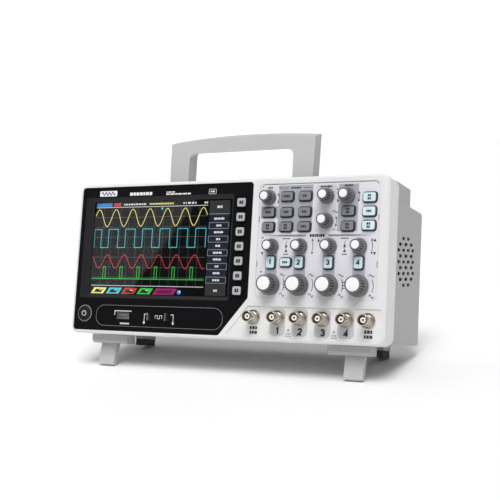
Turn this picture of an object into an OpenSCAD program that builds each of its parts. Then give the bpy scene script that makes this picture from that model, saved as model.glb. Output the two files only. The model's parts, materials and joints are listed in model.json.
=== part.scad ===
// Bench digital oscilloscope with four input channels and a seven inch screen.
// Body axes: x to the right, y towards the back, z up, zero at the middle of the bezel's front bottom edge.
// The assembly is drawn in these axes, then leaned back as it stands on its front legs and rear feet.

/* [Front bezel] */
// Width of the bezel
bezel_w = 318; // [316:0.5:320]
// Height of the bezel
bezel_h = 145.4; // [145:0.1:146]
// Depth of the bezel
bezel_d = 25; // [24:0.5:26]
// Corner radius of the bezel, seen from the front
bezel_r = 8; // [6:0.5:9]
// Thickness of the front plate
plate_t = 2.6; // [2.4:0.1:2.7]

/* [Rear shell] */
// Width of the rear shell
shell_w = 315; // [314:0.5:315]
// Distance from the bezel's front to the back of the shell
shell_back = 105; // [104:0.5:107]
// Height of the low rear block
low_top = 127.5; // [127:0.1:128]
// Height of the raised front block
high_top = 144; // [143.5:0.1:144.4]
// Back of the raised front block
high_back = 69; // [64:0.5:70]
// Wall thickness of the shell
wall = 2.5; // [2:0.1:2.8]

/* [Handle] */
// Width between the outer sides of the handle's pocket, less its clearance
handle_w = 152; // [150:0.5:152]
// Width of each handle arm
arm_w = 21; // [18:0.5:22]
// Depth of the handle, front to back
handle_d = 15; // [14:0.5:15]
// Height of the handle's outer corners
handle_top = 189.5; // [185:0.5:192]
// Rise of the grip's arch above the corners
handle_crown = 3.7; // [1:0.1:6]
// Height of the hand opening's top edge
grip_under = 178.6; // [174:0.2:180]

/* [Legs and feet] */
// Width of a front leg
leg_w = 17.5; // [16:0.5:18]
// Middle of a front leg, from the middle of the body
leg_x = 126.7; // [120:0.1:128]
// Length of a leg from its hinge to its rounded end
leg_len = 23; // [20:0.5:25]
// Forward lean of an opened leg from square to the body
leg_lean = 11; // [5:0.5:12]
// Width of a rear foot
foot_w = 12; // [10:0.5:14]
// Middle of a rear foot, from the middle of the body
foot_x = 127.7; // [120:0.1:135]

/* [Screen side] */
// Left edge of the black fascia
fascia_x0 = -155.8; // [-156:0.1:-154]
// Right edge of the black fascia
fascia_x1 = 31.4; // [31:0.1:32]
// Border of the bezel above and below the fascia
fascia_rim = 3.2; // [3:0.1:3.6]
// Column of the soft keys
soft_x = 21.2; // [21:0.1:21.5]
// Height of the lowest soft key
soft_z = 43.6; // [43:0.1:44]
// Spacing of the soft keys
soft_pitch = 13.3; // [13.2:0.05:13.4]

/* [Control side] */
// Column of the first vertical channel
channel_x = 52.6; // [52:0.1:53]
// Spacing of the vertical channels
channel_pitch = 27.2; // [27:0.1:27.4]
// Column of the first BNC input
bnc_x = 61.4; // [61:0.1:62]
// Spacing of the BNC inputs
bnc_pitch = 21.1; // [21:0.1:21.3]
// Travel of every key
key_travel = 1.2; // [0.8:0.1:1.3]

/* [Hidden] */

$fn = 48;
round_fn = 24;             // segments of a rounded corner's full circle
eps = 0.01;                // overlap that makes two solids of one piece fuse
fit_gap = 0.35;            // air between a moving piece and its neighbour
run_gap = 0.05;            // radial clearance of a pin in its bore

// Bezel
bezel_wall = 3;
bezel_soft = 1.8;          // how far the bezel's front edge is rounded back
mid_z = bezel_h / 2;

// Black fascia: a panel set in the bezel, cut off slantwise at its lower right
fascia_front = 0.6;
fascia_gap = 0.15;
fascia_ledge = 2.5;        // width of the ledge that carries the fascia
ledge_t = 1.4;
slant_x = 3.6;             // where the slanted edge meets the bottom
slant_z = 37.5;            // where it meets the right side
glass = [-142.5, 9.8, 37.8, 128.1];      // clear opening over the screen: x0, x1, z0, z1
frame = [-150.8, 11.6, 34.8, 131.8];     // outer edge of the sloping frame round it
window_t = 1.2;
power_x = -143.8;
power_z = 19;
power_r = 6.9;
pill = [-130, 7, 8.1, 27.3];             // pocket that holds the USB port and the probe terminals
pill_depth = 1.1;
usb_x = -100;
usb_size = [13.2, 5.8, 12];
usb_wall = 0.35;
usb_tongue = [11.2, 1.8];
usb_tongue_z = 1.1;        // the tongue's height above the port's middle
probe_x = [-70, -51];
probe_size = [1.2, 7];
probe_reach = 4.4;         // how far the probe terminals stand out of the pocket

// Printed control overlay
overlay = [38.4, 150.8, 38, 139.8];
overlay_r = 3.5;
overlay_t = 0.4;
overlay_front = 0.15;
lower_panel_top = 30.4;    // recessed field round the BNC connectors
lower_panel_depth = 0.8;

// Keys: a cap that shows, and a flange behind the plate that keeps it in
key_front = -2.5;
key_back = 3;
flange_t = 1.2;
flange_rim = 1.5;
key_hole_gap = 0.3;
button_front = -1.1;
menu_size = [12, 8.3];
channel_size = [8.6, 11];
math_size = [10.6, 7.6];
soft_size = [9.2, 8.4];
key_r = 2;
menu_x = [48.4, 65.7, 82.9];
row_z = [127.7, 113.7, 100.7];
trigger_x = 123.1;
run_x = 141.9;
run_z = [125.2, 113.1, 101];
channel_key_z = 69.3;
math_x = 66.8;
menu_places = [
    [menu_x[1], row_z[0]], [menu_x[2], row_z[0]],
    [menu_x[0], row_z[1]], [menu_x[1], row_z[1]], [menu_x[2], row_z[1]],
    [menu_x[0], row_z[2]], [menu_x[1], row_z[2]], [menu_x[2], row_z[2]]
];

// Knobs: a ribbed skirt on a shaft that turns in an encoder's bush
small_knob = [14, 9.6, 7.4, 12];   // base, nose and cap diameters, and length
large_knob = [19.4, 14.4, 12, 14];
knob_gap = 0.5;                    // air between a knob and the overlay
cap_depth = 2;
shaft_r = 3;
skirt_t = 1.6;                     // the straight skirt at a knob's base
skirt_dome = 3.2;                  // rise from the skirt to the grip
shaft_socket = 8;                  // depth of the knob's bore
shaft_in = 8;                      // how far a shaft reaches behind the plate
bush_r = 3.9;
encoder = [12.4, 12.4, 5.4];
encoder_front = 3.2;
knob_top_z = 127.3;
knob_mid_z = 105.6;
position_z = 83.4;
scale_z = 49.8;
general_x = 47.6;
horizontal_x = 102.7;
trigger_knob_x = 121.6;
small_places = concat(
    [[general_x, knob_top_z], [horizontal_x, knob_top_z],
     [horizontal_x, knob_mid_z], [trigger_knob_x, knob_top_z]],
    [for (i = [0:3]) [channel_x + i * channel_pitch, position_z]]
);
large_places = [for (i = [0:3]) [channel_x + i * channel_pitch, scale_z]];

// BNC connectors
bnc_z = 20.7;
generator_x = 37.9;
external_x = 144;
bnc_columns = concat([generator_x], [for (i = [0:3]) bnc_x + i * bnc_pitch], [external_x]);
bnc_tip = 13.6;            // reach of the barrel in front of the plate
barrel_r = 4.8;            // the nose in front of the lugs
nose_len = 3.2;
body_r = 4.65;             // the barrel behind the nose
barrel_bore_r = 4.05;
collar_r = 6.6;
collar_t = 2.2;
neck_r = 5.6;
lug_y = 9.2;
lug_r = 1;
lug_reach = 5.7;
bnc_tail = 16.5;
core_r = 2.8;              // insulator in the neck
core_nose_r = 2.35;        // insulator in the barrel
core_tip = 9.6;            // reach of the insulator
contact_r = 1.05;
contact_bore_r = 0.5;

// Boards and inner modules; boards are [x, z, width, height]
mat_y = key_back + flange_t + key_travel + 0.6;
mat_t = 1.2;
board_y = 9;
board_t = 1.6;
control_board = [14, 34, 138, 106];
port_board = [-152, 6, 180, 26];
board_bridge = [14, 20, 10, 16];
main_y = 18;
main_outline = [-148, 8, 296, 112];
bnc_can = [16, 6, 34];     // screening can behind each input: width, depth, height
chips = [[-20, 50, 32, 32], [-70, 54, 24, 24], [40, 74, 24, 24]];
chip_t = 2.5;
supply_y = 62;
supply_outline = [-145, 12, 96, 100];
transformer = [-136, 60, 32, 28];
transformer_t = 24;
heat_sink = [-92, 52, 6, 50];
heat_sink_t = 20;
capacitor_x = -68;
capacitor_z = [66, 88];
capacitor_r = 8;
capacitor_len = 26;
lcd = [-148, 12, 34, 132];
lcd_y = 4.3;
lcd_t = 4.2;

// Fan behind the side vent
fan_size = 50;
fan_t = 15;
fan_y = 59;
fan_z = 77;
fan_bore_r = 23.5;
fan_hub_r = 10;
fan_pin_r = 1.5;
fan_hole_r = 1.6;
fan_web = 2;
fan_x1 = shell_w / 2 - wall - 0.3;
fan_x0 = fan_x1 - fan_t;
blades = 7;
blade = [11, 1.2, 12.5];
blade_pitch = 40;
vent_rows = [2, 3, 4, 3, 4, 3, 4, 3, 2];
vent_row_pitch = 5.15;
vent_pitch = 14.2;         // spacing within a row of two or four
vent_pitch_wide = 16.6;    // spacing within a row of three
vent_slot_short = 5.6;
vent_slot_wide = 6.6;
vent_wall = 1.2;           // wall thickness between the slots
vent_field = [60, 52];     // depth and height of the thin field
vent_r = 1.45;
vent_slant = 6;            // the rows fall slightly towards the front

// Rear connectors
inlet_x = -112;
inlet_z = 32;
inlet_hole = [27.4, 20];
inlet_rim = [31, 24];
inlet_mouth = [24.5, 16.4];
inlet_cut = 4;             // the mouth's two slanted corners
inlet_depth = 16;
inlet_pins = [[-7, -1.5], [7, -1.5], [0, 3.5]];
inlet_pin = [2, 15, 4];
ports_z = 26;
port_len = 16;
port_proud = 0.4;          // how far the USB and network sockets stand out of the back
usb_b_x = 62;
usb_b_size = [12, 11];
usb_b_mouth = [8.6, 8];
usb_b_tongue = [5.6, 3.2];
usb_b_depth = 10;
lan_x = 88;
lan_size = [16, 13.5];
lan_mouth = [11.8, 8.4];
lan_depth = 13;
aux_x = 114;
aux_tip = 12;              // reach of the rear BNC barrel behind the shell

// Underside
shell_bottom = 1.5;
shell_bottom_back = 4.3;
edge_r = 4;
hinge_y = 25;
hinge_z = -5.5;
hinge_pin_r = 2;
leg_half = 3;              // half the leg's thickness
leg_room = 1.4;            // air in front of a leg in its bracket
hinge_pin_len = 3.5;       // reach of a hinge pin beside the leg
tip_r = 1.5;
bracket_w = 39.4;
bracket_x = 123.1;
bracket_y0 = 15;
bracket_y1 = 30.5;
bracket_z = -8.6;
foot_y0 = 78;
foot_y1 = 98;
boss_z = -2;
pad_z = -8.7;

// Handle hinge, in a pocket of the raised block that is open to the back
pivot_y = 38.5;
pivot_z = 135.5;
pivot_r = 3;
pocket_gap = 0.4;
hub_half = handle_w / 2 - 1;         // half the handle's width at its hinge
arm_flare = 0.8;           // how much more than handle_w each side reaches at the corners
grip_slope = 21;           // rise of the grip's top and underside towards the back
pocket_wall = 3.5;
pocket_front = 28;

// Case screws
screw_x = 149;
screw_z = [14, 116];
screw_head_r = 2.9;
screw_r = 1.5;
screw_len = 16;

// Stance: the leg tips and the rear pads have the same edge radius, so both rest on one plane
tip_half = leg_half - tip_r;
leg_rest_y = hinge_y - leg_len * sin(leg_lean) + tip_half * cos(leg_lean);
leg_rest_z = hinge_z - leg_len * cos(leg_lean) - tip_half * sin(leg_lean);
pad_rest_y = foot_y1 - tip_r;
pad_rest_z = pad_z + tip_r;
tilt = atan2(pad_rest_z - leg_rest_z, pad_rest_y - leg_rest_y);
floor_drop = -(leg_rest_z * cos(tilt) - leg_rest_y * sin(tilt) - tip_r);
front_reach = -bnc_tip * cos(tilt) + (bnc_z - barrel_r) * sin(tilt);
back_reach = (shell_back - edge_r) * cos(tilt) + (low_top - edge_r) * sin(tilt) + edge_r;
stand_y = -(front_reach + back_reach) / 2;

// Puts body axes where the standing object has them
module standing() {
    translate([0, stand_y, floor_drop])
        rotate([-tilt, 0, 0])
            children();
}

// Rounded rectangle, centred
module rounded(size, r, fn = round_fn) {
    offset(r = r, $fn = fn)
        square([size[0] - 2 * r, size[1] - 2 * r], center = true);
}

// Rounded rectangle from its edges [x0, x1, z0, z1], grown all round
module rounded_edges(e, r, grow = 0) {
    translate([(e[0] + e[1]) / 2, (e[2] + e[3]) / 2])
        rounded([e[1] - e[0] + 2 * grow, e[3] - e[2] + 2 * grow], r);
}

// Extrudes a front outline (x, z) from y0 back to y1
module slab(y0, y1) {
    translate([0, y1, 0])
        rotate([90, 0, 0])
            linear_extrude(y1 - y0)
                children();
}

// Extrudes a side outline (y, z) from x0 to x1
module rail(x0, x1) {
    translate([x0, 0, 0])
        rotate([90, 0, 90])
            linear_extrude(x1 - x0)
                children();
}

// Round bar along y at (x, z)
module bar_y(x, z, r, y0, y1) {
    translate([x, y0, z])
        rotate([-90, 0, 0])
            cylinder(r = r, h = y1 - y0);
}

// Round bar along x at (y, z)
module bar_x(y, z, r, x0, x1) {
    translate([x0, y, z])
        rotate([0, 90, 0])
            cylinder(r = r, h = x1 - x0);
}

module both_sides() {
    children();
    mirror([1, 0, 0]) children();
}

// ---- Front bezel -------------------------------------------------------------------------------

module bezel_outline(grow = 0) {
    translate([0, mid_z])
        rounded([bezel_w + 2 * grow, bezel_h + 2 * grow], bezel_r + grow);
}

module fascia_outline(grow = 0) {
    r = 3;
    offset(r = r + grow, $fn = round_fn)
        offset(delta = -r)
            polygon([
                [fascia_x0, fascia_rim],
                [slant_x, fascia_rim],
                [fascia_x1, slant_z],
                [fascia_x1, bezel_h - fascia_rim],
                [fascia_x0, bezel_h - fascia_rim]
            ]);
}

// Recessed field round the BNC connectors, its left edge along the fascia's slant
module lower_field() {
    offset(r = 2, $fn = round_fn)
        polygon([
            [slant_x + 10.5, 5],
            [bezel_w / 2 - 5, 5],
            [bezel_w / 2 - 5, lower_panel_top - 2],
            [slant_x + 29.5, lower_panel_top - 2]
        ]);
}

module key_outlines(grow = 0) {
    for (p = menu_places)
        translate(p) rounded(menu_size + [2, 2] * grow, key_r + grow);
    for (z = [row_z[1], row_z[2]])
        translate([trigger_x, z]) rounded(menu_size + [2, 2] * grow, key_r + grow);
    for (z = run_z)
        translate([run_x, z]) rounded(menu_size + [2, 2] * grow, key_r + grow);
    for (i = [0:3])
        translate([channel_x + i * channel_pitch, channel_key_z])
            rounded(channel_size + [2, 2] * grow, key_r + grow);
    translate([math_x, channel_key_z]) rounded(math_size + [2, 2] * grow, key_r + grow);
}

module soft_outlines(grow = 0) {
    for (i = [0:6])
        translate([soft_x, soft_z + i * soft_pitch])
            rounded(soft_size + [2, 2] * grow, key_r + grow);
}

module shaft_holes(r, y0, y1) {
    for (p = concat(small_places, large_places))
        bar_y(p[0], p[1], r, y0, y1);
}

module front_bezel() {
    color("whitesmoke") standing() difference() {
        union() {
            difference() {
                hull() {
                    slab(0, 0.4) bezel_outline(-bezel_soft);
                    slab(bezel_soft, bezel_d) bezel_outline();
                }
                slab(plate_t, bezel_d + 1) bezel_outline(-bezel_wall);
            }
            slab(plate_t - eps, plate_t + ledge_t)
                intersection() {
                    fascia_outline(fascia_ledge);
                    bezel_outline(-bezel_wall + eps);
                }
        }
        slab(-1, plate_t) fascia_outline(fascia_gap);
        slab(-1, plate_t + ledge_t + 1) fascia_outline(-fascia_ledge);
        slab(-1, overlay_front + overlay_t) rounded_edges(overlay, overlay_r, 0.15);
        slab(-1, lower_panel_depth) lower_field();
        slab(-1, plate_t + 1) key_outlines(key_hole_gap);
        shaft_holes(bush_r + 0.3, -1, plate_t + 1);
        for (x = bnc_columns) bar_y(x, bnc_z, neck_r + 0.1, -1, plate_t + 1);
    }
}

module screen_fascia() {
    color("#222224") standing() difference() {
        slab(fascia_front, plate_t) fascia_outline();
        hull() {
            slab(fascia_front - 1, fascia_front) rounded_edges(frame, 1.5);
            slab(plate_t, plate_t + 1) rounded_edges(glass, 1);
        }
        slab(fascia_front - 1, plate_t + 1) soft_outlines(key_hole_gap);
        bar_y(power_x, power_z, power_r + key_hole_gap, fascia_front - 1, plate_t + 1);
        slab(fascia_front - 1, fascia_front + pill_depth) rounded_edges(pill, 9);
        translate([usb_x, 0, (pill[2] + pill[3]) / 2])
            slab(0, plate_t + 1) square([usb_size[0] + 0.3, usb_size[1] + 0.3], center = true);
        for (x = probe_x)
            translate([x, 0, (pill[2] + pill[3]) / 2])
                slab(0, plate_t + 1) square(probe_size + [0.3, 0.3], center = true);
    }
}

module display_window() {
    color("#202830") standing()
        slab(plate_t + 0.1, plate_t + 0.1 + window_t) rounded_edges(glass, 2, 2);
}

module lcd_module() {
    color("#303030") standing() difference() {
        slab(lcd_y, lcd_y + lcd_t) rounded_edges(lcd, 1);
        slab(lcd_y - 1, lcd_y + 0.5) rounded_edges(glass, 1, -1);
    }
}

module control_overlay() {
    color("#d9d9e6") standing() difference() {
        slab(overlay_front, overlay_front + overlay_t) rounded_edges(overlay, overlay_r);
        slab(-1, 2) key_outlines(key_hole_gap);
        shaft_holes(bush_r + 0.3, -1, 2);
    }
}

// ---- Rear shell --------------------------------------------------------------------------------

// Side outline of the low block, shrunk by inset; it runs on to the front, where it is cut off
module low_outline(inset) {
    offset(r = max(edge_r - inset, 1), $fn = 32)
        offset(delta = -max(edge_r, inset + 1))
            polygon([
                [0, shell_bottom],
                [bezel_d, shell_bottom],
                [shell_back, shell_bottom_back],
                [shell_back, low_top],
                [0, low_top]
            ]);
}

// One vent hole: a slot with round ends that runs front to back
module vent_slot(slot) {
    for (end = [-slot / 2, slot / 2]) bar_x(end, 0, vent_r, 0, wall + 2);
    translate([0, -slot / 2, -vent_r]) cube([wall + 2, slot, 2 * vent_r]);
}

module vent_holes() {
    rows = len(vent_rows);
    translate([shell_w / 2 - wall - 1, fan_y, fan_z])
        rotate([vent_slant, 0, 0])
            for (row = [0:rows - 1], i = [0:vent_rows[row] - 1]) {
                wide = vent_rows[row] == 3;
                y = (i - (vent_rows[row] - 1) / 2) * (wide ? vent_pitch_wide : vent_pitch);
                z = (row - (rows - 1) / 2) * vent_row_pitch;
                translate([0, y, z]) vent_slot(wide ? vent_slot_wide : vent_slot_short);
            }
}

// Inside of the wall round the vent holes, cut away to vent_wall
module vent_recess() {
    translate([shell_w / 2 - wall - 1, fan_y - vent_field[0] / 2, fan_z - vent_field[1] / 2])
        cube([wall + 1 - vent_wall, vent_field[0], vent_field[1]]);
}

module leg_bracket() {
    slot = leg_w / 2 + fit_gap;
    pin_half = leg_w / 2 + hinge_pin_len + 0.5;
    difference() {
        union() {
            translate([bracket_x - bracket_w / 2, bracket_y0, bracket_z])
                cube([bracket_w, bracket_y1 - bracket_y0, -bracket_z - 0.3]);
            translate([bracket_x - bracket_w / 2, bezel_d + 0.3, bracket_z])
                cube([bracket_w, bracket_y1 - bezel_d - 0.3, -bracket_z + shell_bottom + 1]);
        }
        translate([leg_x - slot, hinge_y - leg_half - leg_room, bracket_z - 1])
            cube([2 * slot, bracket_y1, -bracket_z + 0.4]);
        bar_x(hinge_y, hinge_z, hinge_pin_r + run_gap, leg_x - pin_half, leg_x + pin_half);
        translate([bracket_x, bracket_y0, bracket_z])
            rotate([45, 0, 0])
                cube([bracket_w + 1, 4, 4], center = true);
    }
}

module rear_shell() {
    low_half = shell_w / 2;
    high_half = low_half - 1.2;
    pocket_half = handle_w / 2 + pocket_gap;
    color("#bdbdbd") standing() {
        difference() {
            union() {
                rail(-low_half, low_half) low_outline(0);
                translate([-high_half, bezel_d, low_top - 8])
                    cube([2 * high_half, high_back - bezel_d, high_top - low_top + 8]);
                both_sides() leg_bracket();
                both_sides()
                    translate([foot_x - foot_w / 2, foot_y0, boss_z])
                        cube([foot_w, foot_y1 - foot_y0, -boss_z + shell_bottom_back + 1]);
            }
            translate([-shell_w, -1, 0.2]) cube([2 * shell_w, bezel_d + 1, high_top]);
            rail(-low_half + wall, low_half - wall) low_outline(wall);
            both_sides()
                translate([pocket_half + pocket_wall, bezel_d - 1, low_top - 9])
                    cube([high_half - wall - pocket_half - pocket_wall,
                          high_back - bezel_d - wall + 1, high_top - low_top - wall + 9]);
            translate([-pocket_half, pocket_front, low_top])
                cube([2 * pocket_half, shell_back, high_top]);
            bar_x(pivot_y, pivot_z, pivot_r + run_gap, -pocket_half - pocket_wall - 1,
                  pocket_half + pocket_wall + 1);
            vent_holes();
            vent_recess();
            translate([inlet_x, 0, inlet_z])
                slab(shell_back - wall - 1, shell_back + 1) square(inlet_hole + [0.3, 0.3], center = true);
            translate([usb_b_x, 0, ports_z])
                slab(shell_back - wall - 1, shell_back + 1) square(usb_b_size + [0.4, 0.4], center = true);
            translate([lan_x, 0, ports_z])
                slab(shell_back - wall - 1, shell_back + 1) square(lan_size + [0.4, 0.4], center = true);
            bar_y(aux_x, ports_z, neck_r + 0.1, shell_back - wall - 1, shell_back + 1);
            for (z = screw_z, side = [-1, 1])
                bar_y(side * screw_x, z, screw_head_r + 0.2, shell_back - wall - 1, shell_back + 1);
        }
    }
}

module rear_feet() {
    color("#303030") standing() both_sides()
        rail(foot_x - foot_w / 2 + 0.5, foot_x + foot_w / 2 - 0.5)
            intersection() {
                translate([(foot_y0 + foot_y1) / 2, pad_z / 2])
                    rounded([foot_y1 - foot_y0, -pad_z], tip_r, 48);
                translate([0, pad_z - 1]) square([foot_y1 + 1, boss_z - pad_z + 1 - eps]);
            }
}

module case_screws() {
    color("#9a9a9a") standing()
        for (z = screw_z, side = [-1, 1]) difference() {
            union() {
                bar_y(side * screw_x, z, screw_head_r, shell_back - 2.4, shell_back - 0.4);
                bar_y(side * screw_x, z, screw_r, shell_back - screw_len, shell_back - 2.4 + eps);
            }
            for (a = [0, 90])
                translate([side * screw_x, shell_back - 0.6, z])
                    rotate([0, a, 0]) cube([3.4, 1.6, 0.7], center = true);
        }
}

// ---- Connectors --------------------------------------------------------------------------------

module bnc_shells() {
    color("#c9c2b4") standing() for (x = bnc_columns) {
        difference() {
            union() {
                bar_y(x, bnc_z, collar_r, -collar_t, lower_panel_depth);
                bar_y(x, bnc_z, neck_r, 0, bnc_tail - 4);
                bar_y(x, bnc_z, barrel_r, -bnc_tip, nose_len - bnc_tip);
                bar_y(x, bnc_z, body_r, -bnc_tip + 1, 0);
                bar_x(-lug_y, bnc_z, lug_r, x - lug_reach, x + lug_reach);
            }
            bar_y(x, bnc_z, barrel_bore_r, -bnc_tip - 1, -1);
            bar_y(x, bnc_z, core_r + run_gap, -2, bnc_tail);
        }
    }
}

module bnc_cores() {
    color("#efe6cf") standing() for (x = bnc_columns) {
        difference() {
            union() {
                bar_y(x, bnc_z, core_nose_r, -core_tip, 0);
                bar_y(x, bnc_z, core_r, -1.5, bnc_tail - 3);
            }
            bar_y(x, bnc_z, contact_r + run_gap, -bnc_tip, -2);
        }
        difference() {
            bar_y(x, bnc_z, contact_r, 0.4 - core_tip, -2.1);
            bar_y(x, bnc_z, contact_bore_r, -bnc_tip, -4);
        }
    }
}

module front_ports() {
    middle = (pill[2] + pill[3]) / 2;
    front = fascia_front + pill_depth - 0.4;
    mouth = [usb_size[0] - 2 * usb_wall, usb_size[1] - 2 * usb_wall];
    back = front + usb_size[2];
    color("#b8b8bc") standing() translate([0, 0, middle]) {
        translate([usb_x, 0, 0]) {
            difference() {
                slab(front, back) square([usb_size[0], usb_size[1]], center = true);
                slab(front - 1, back - 1) square(mouth, center = true);
            }
            translate([0, 0, usb_tongue_z])
                slab(front + 0.6, back - 1 + eps) square(usb_tongue, center = true);
        }
        for (x = probe_x)
            translate([x, 0, 0])
                slab(front - probe_reach, board_y - 0.1) square(probe_size, center = true);
    }
}

// ---- Inside ------------------------------------------------------------------------------------

module keypad_mat() {
    soft_mid = soft_z + 3 * soft_pitch;
    color("#7a7a80") standing() {
        difference() {
            slab(mat_y, mat_y + mat_t) rounded_edges(overlay, 1, -1);
            for (p = concat(small_places, large_places))
                translate([p[0] - encoder[0] / 2 - 0.5, mat_y - 1, p[1] - encoder[1] / 2 - 0.5])
                    cube([encoder[0] + 1, 4, encoder[1] + 1]);
        }
        translate([soft_x, 0, soft_mid])
            slab(mat_y, mat_y + mat_t) square([soft_size[0] + 4, 6 * soft_pitch + 13], center = true);
        bar_y(power_x, power_z, power_r + 1.5, mat_y, mat_y + mat_t);
    }
}

// Upright plate or block from its place and size [x, z, width, height]
module block(b, y0, y1) {
    translate([b[0], y0, b[1]]) cube([b[2], y1 - y0, b[3]]);
}

module front_board() {
    color("#2f6b45") standing() difference() {
        union() {
            for (b = [control_board, port_board, board_bridge]) block(b, board_y, board_y + board_t);
            for (p = concat(small_places, large_places)) {
                translate([p[0] - encoder[0] / 2, encoder_front, p[1] - encoder[1] / 2])
                    cube([encoder[0], board_y - encoder_front + eps, encoder[1]]);
                bar_y(p[0], p[1], bush_r, -0.3, encoder_front + eps);
            }
        }
        shaft_holes(shaft_r + run_gap, -2, shaft_in + 0.5);
        block([usb_x - 8, 12, 16, 12], board_y - 1, board_y + 3);
    }
}

module main_board() {
    back = main_y + board_t;
    color("#2f6b45") standing() {
        block(main_outline, main_y, back);
        for (x = bnc_columns)
            block([x - bnc_can[0] / 2, bnc_z - 8, bnc_can[0], bnc_can[2]], back - eps, back + bnc_can[1]);
        for (chip = chips) block(chip, back - eps, back + chip_t);
    }
}

module power_supply() {
    color("#c8a050") standing() {
        block(supply_outline, supply_y, supply_y + board_t);
        block(transformer, supply_y - transformer_t, supply_y + eps);
        block(heat_sink, supply_y - heat_sink_t, supply_y + eps);
        for (z = capacitor_z)
            bar_y(capacitor_x, z, capacitor_r, supply_y - capacitor_len, supply_y + eps);
    }
}

// Spider side of the fan frame: a hub on three struts
module fan_spider() {
    circle(r = fan_hub_r - 1);
    for (a = [0, 120, 240])
        rotate(a) translate([0, -2]) square([fan_bore_r + 0.8, 4]);
}

module fan_frame() {
    color("#38383a") standing() translate([0, fan_y, fan_z]) {
        rail(fan_x0, fan_x1)
            difference() {
                square(fan_size, center = true);
                circle(r = fan_bore_r);
                for (a = [-20, 20], b = [-20, 20]) translate([a, b]) circle(r = fan_hole_r);
            }
        rail(fan_x0, fan_x0 + fan_web) fan_spider();
        bar_x(0, 0, fan_pin_r, fan_x0 + 1, fan_x1 - 3);
    }
}

module fan_rotor() {
    x0 = fan_x0 + fan_web + 0.5;
    color("#4a4a4c") standing() translate([0, fan_y, fan_z]) difference() {
        union() {
            bar_x(0, 0, fan_hub_r, x0, fan_x1 - 1.5);
            for (i = [0:blades - 1])
                translate([(x0 + fan_x1 - 1) / 2, 0, 0])
                    rotate([i * 360 / blades, 0, 0])
                        translate([0, 0, fan_hub_r - 1])
                            rotate([0, 0, blade_pitch])
                                translate([-blade[0] / 2, -blade[1] / 2, 0]) cube(blade);
        }
        bar_x(0, 0, fan_pin_r + run_gap, x0 - 1, fan_x1 - 2.8);
    }
}

// Mouth of the inlet: a rectangle with its two upper corners cut off
module inlet_outline() {
    x = inlet_mouth[0] / 2;
    z = inlet_mouth[1] / 2;
    polygon([
        [-x, -z], [x, -z],
        [x, z - inlet_cut], [x - inlet_cut, z],
        [inlet_cut - x, z], [-x, z - inlet_cut]
    ]);
}

module mains_inlet() {
    floor_y = shell_back - inlet_depth;
    color("#262626") standing() translate([inlet_x, 0, inlet_z]) {
        difference() {
            union() {
                slab(shell_back + 0.1, shell_back + 1.9) rounded(inlet_rim, 2);
                slab(floor_y - 4, shell_back + 0.1 + eps) square(inlet_hole, center = true);
            }
            slab(floor_y, shell_back + 3) inlet_outline();
        }
        for (pin = inlet_pins)
            translate([pin[0] - inlet_pin[0] / 2, floor_y - eps, pin[1] - inlet_pin[2] / 2]) cube(inlet_pin);
    }
}

// Metal socket with a rectangular mouth
module socket(size, mouth, depth) {
    difference() {
        slab(shell_back - port_len, shell_back + port_proud) square(size, center = true);
        slab(shell_back - depth, shell_back + 1) square(mouth, center = true);
    }
}

module rear_ports() {
    color("#b8b8bc") standing() translate([0, 0, ports_z]) {
        translate([usb_b_x, 0, 0]) {
            socket(usb_b_size, usb_b_mouth, usb_b_depth);
            slab(shell_back - usb_b_depth - eps, shell_back - 1) square(usb_b_tongue, center = true);
        }
        translate([lan_x, 0, 0]) socket(lan_size, lan_mouth, lan_depth);
        difference() {
            union() {
                bar_y(aux_x, 0, collar_r, shell_back + 0.1, shell_back + 2.3);
                bar_y(aux_x, 0, neck_r, shell_back - 8, shell_back + 0.2);
                bar_y(aux_x, 0, body_r, shell_back, shell_back + aux_tip - 1);
                bar_y(aux_x, 0, barrel_r, shell_back + aux_tip - nose_len, shell_back + aux_tip);
                bar_x(shell_back + aux_tip - bnc_tip + lug_y, 0, lug_r, aux_x - lug_reach, aux_x + lug_reach);
            }
            bar_y(aux_x, 0, barrel_bore_r, shell_back + 1, shell_back + aux_tip + 1);
        }
        bar_y(aux_x, 0, core_nose_r, shell_back + 1 - eps, shell_back + aux_tip - 3);
    }
}

// ---- Moving pieces -----------------------------------------------------------------------------

// Front outline of the handle below its arch: the arms spread a little towards the grip
module handle_outline() {
    corner_z = handle_top + handle_crown + handle_d * tan(grip_slope);
    polygon([
        [-hub_half, pivot_z],
        [hub_half, pivot_z],
        [handle_w / 2 + arm_flare, corner_z],
        [-handle_w / 2 - arm_flare, corner_z]
    ]);
}

// The grip's top and underside both rise towards the back
module carry_handle() {
    half = handle_w / 2;
    arm_in = half - arm_w;
    y0 = pivot_y - handle_d / 2;
    rise = (handle_d + 1) * tan(grip_slope);
    arch_r = (half * half + handle_crown * handle_crown) / (2 * handle_crown);
    arch_z = handle_top + handle_crown - arch_r / cos(grip_slope);
    color("#bebebe") standing() {
        difference() {
            intersection() {
                slab(y0, y0 + handle_d) handle_outline();
                translate([0, y0, arch_z])
                    rotate([grip_slope, 0, 0])
                        bar_y(0, 0, arch_r, 0, arch_r, $fn = 360);
            }
            slab(y0 - 1, y0 + handle_d + 1) translate([0, grip_under - 50]) rounded([2 * arm_in, 100], 6);
            rail(-arm_in, arm_in)
                polygon([
                    [y0, grip_under],
                    [y0 + handle_d + 1, grip_under],
                    [y0 + handle_d + 1, grip_under + rise]
                ]);
        }
        both_sides()
            rail(arm_in, hub_half)
                hull() {
                    translate([pivot_y, pivot_z]) circle(r = handle_d / 2);
                    translate([y0, pivot_z]) square([handle_d, 4]);
                }
        both_sides() bar_x(pivot_y, pivot_z, pivot_r, hub_half - 1, half + pocket_wall);
    }
}

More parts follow.
